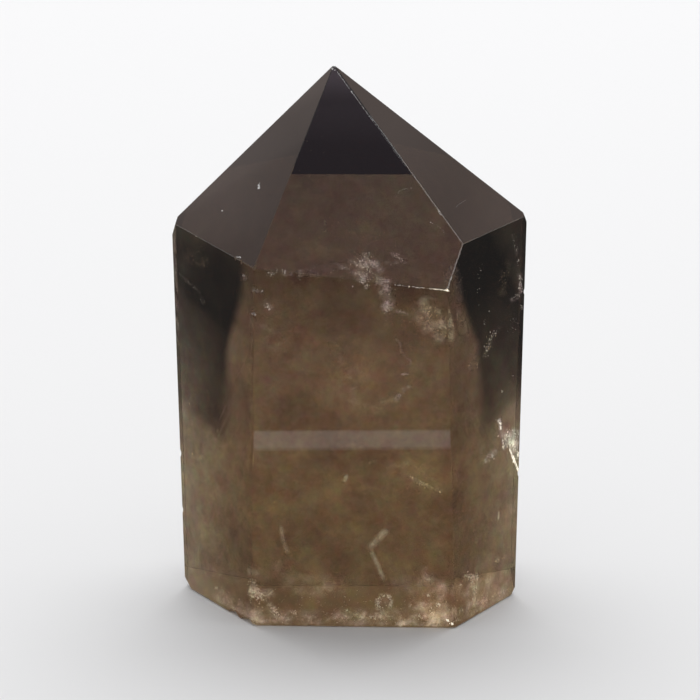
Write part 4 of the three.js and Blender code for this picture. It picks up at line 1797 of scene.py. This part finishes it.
    def level_card(
        self, name: str, height: float, finish: CardFinish | FloorPaint, seen_by: set[Ray]
    ) -> None:
        """Lays a large level card round the stone.

        Args:
            name: Name of the card.
            height: Its height.
            finish: What it is made of.
            seen_by: The kinds of ray that see it.
        """
        h = self.floor_half
        corners = [Vector((x * h, y * h, height)) for x, y in ((-1, -1), (1, -1), (1, 1), (-1, 1))]
        self.card(name, corners, finish, seen_by)

    def floor(self) -> None:
        """Lays the floor, just clear of the foot."""
        self.level_card("floor", -self.floor_gap, FloorPaint(), set(Ray) - {Ray.GLOSSY})

    def table_in_mirror(self) -> None:
        """Lays the dark table that the upright faces mirror, and the bright strip on it."""
        finish = CardFinish("dark_table", self.table_glow)
        self.level_card("mirrored_table", self.table_height * MM, finish, {Ray.GLOSSY})
        x, near, far = self.strip_half, self.strip_near, self.strip_far
        for strip in self.strips:
            out = strip.wider
            outline = ((-x, near[0] - out), (-x, far[0] + out), (x, far[1] + out), (x, near[1] - out))
            corners = [Vector((*place, strip.height)) * MM for place in outline]
            self.card(strip.name, corners, CardFinish(f"{strip.name}_light", strip.glow), {Ray.GLOSSY})

    def mirrored_walls(self) -> None:
        """Stands the soft walls where the faces of the point mirror them."""
        for wall in self.walls:
            (x0, y0, z0), (x1, y1, z1) = wall.low, wall.high
            corners = [Vector(c) * MM for c in ((x0, y0, z0), (x1, y1, z0), (x1, y1, z1), (x0, y0, z1))]
            by_height, by_depth = metres(wall.by_height), metres(wall.by_depth)
            finish = CardFinish(f"{wall.name}_cloth", 1.0, by_height, by_depth, tint=wall.tint)
            self.card(wall.name, corners, finish, {Ray.GLOSSY})

    def side_cards(self) -> None:
        """Leans the flags that the side faces look through to, and hangs the screens behind the stone."""
        for flag in self.flags:
            self.lean_flag(flag)
        y, (low, high) = self.screen_depth, self.screen_rise
        for screen in self.screens:
            left, right = screen.span
            outline = ((left, low), (right, low), (right, high), (left, high))
            corners = [Vector((x, y, z)) * MM for x, z in outline]
            finish = CardFinish(f"{screen.name}_white", screen.glow)
            self.card(screen.name, corners, finish, {Ray.TRANSMISSION})

    def lean_flag(self, flag: Flag) -> bpy.types.Object:
        """Leans one flag beside the stone.

        Args:
            flag: The flag.

        Returns:
            Its object.
        """
        top = flag.outline[-1][0]
        front = min(begin - soft / 2 for _, begin, soft, _, _ in flag.outline)
        back = max(end + soft / 2 for _, _, _, end, soft in flag.outline)
        columns, rows = (max(2, round(size / self.flag_weave)) for size in (back - front, top))
        bm = bmesh.new()
        fade = bm.verts.layers.float.new("fade")
        for vert in bmesh.ops.create_grid(bm, x_segments=columns, y_segments=rows, size=1.0)["verts"]:
            depth, height = front + (back - front) * (vert.co.x + 1) / 2, top * (vert.co.y + 1) / 2
            vert[fade] = flag.cover(height, depth)
            vert.co = Vector((flag.side * (self.flag_foot + self.flag_lean * height), depth, height)) * MM
        by_height, by_depth = metres(flag.by_height), metres(flag.by_depth)
        finish = CardFinish(f"{flag.name}_grey", flag.glow, by_height, by_depth, soft=True)
        return self.hang(bm, flag.name, finish, {Ray.TRANSMISSION})

    @staticmethod
    def light(lamp: Lamp) -> None:
        """Hangs a lamp, turned towards the stone's middle.

        Args:
            lamp: The lamp.
        """
        data = bpy.data.lights.new(lamp.name, "AREA")
        data.shape = "RECTANGLE"
        data.size, data.size_y = lamp.size
        data.energy = lamp.radiance * math.pi * lamp.size[0] * lamp.size[1]
        made = bpy.data.objects.new(lamp.name, data)
        made.location = lamp.at
        made.rotation_euler = (STONE_MIDDLE - lamp.at).to_track_quat("-Z", "Y").to_euler()
        bpy.context.scene.collection.objects.link(made)

    def surround(self) -> None:
        """Fills the room with even light, which grows from the camera's side to the far side."""
        world = bpy.data.worlds.new("studio_air")
        world.use_nodes = True
        tree = world.node_tree
        towards = add_node(tree, "ShaderNodeTexCoord").outputs["Generated"]
        away = add_node(
            tree, "ShaderNodeVectorMath", {"operation": "DOT_PRODUCT", 1: self.far_way}, {0: towards}
        ).outputs["Value"]
        light = add_node(
            tree,
            "ShaderNodeMapRange",
            {1: -self.air_reach, 2: self.air_reach, 3: self.near_air, 4: self.far_air},
            {0: away},
        ).outputs[0]
        background = tree.nodes["Background"]
        background.inputs["Color"].default_value = linear("FFFFFF")
        tree.links.new(light, background.inputs["Strength"])
        bpy.context.scene.world = world


def light_paths() -> None:
    """Shows colours as they are, and lets light be mirrored and pass through films many times over."""
    scene = bpy.context.scene
    scene.view_settings.view_transform = "Standard"
    scene.cycles.glossy_bounces = 12
    scene.cycles.transparent_max_bounces = 32


def main() -> None:
    """Builds the stone and its studio, in order."""
    logging.basicConfig(level=logging.INFO, format="%(name)s: %(message)s")
    camera = PhotoCamera()
    camera.make()
    stone = Stone()
    stone.build(camera)
    log.info("%s: %d faces", stone.name, len(stone.object.data.polygons))
    Inclusions(Inside(stone, camera)).build()
    Studio().build()
    light_paths()
    log.info("studio done")


if __name__ == "__main__":
    main()
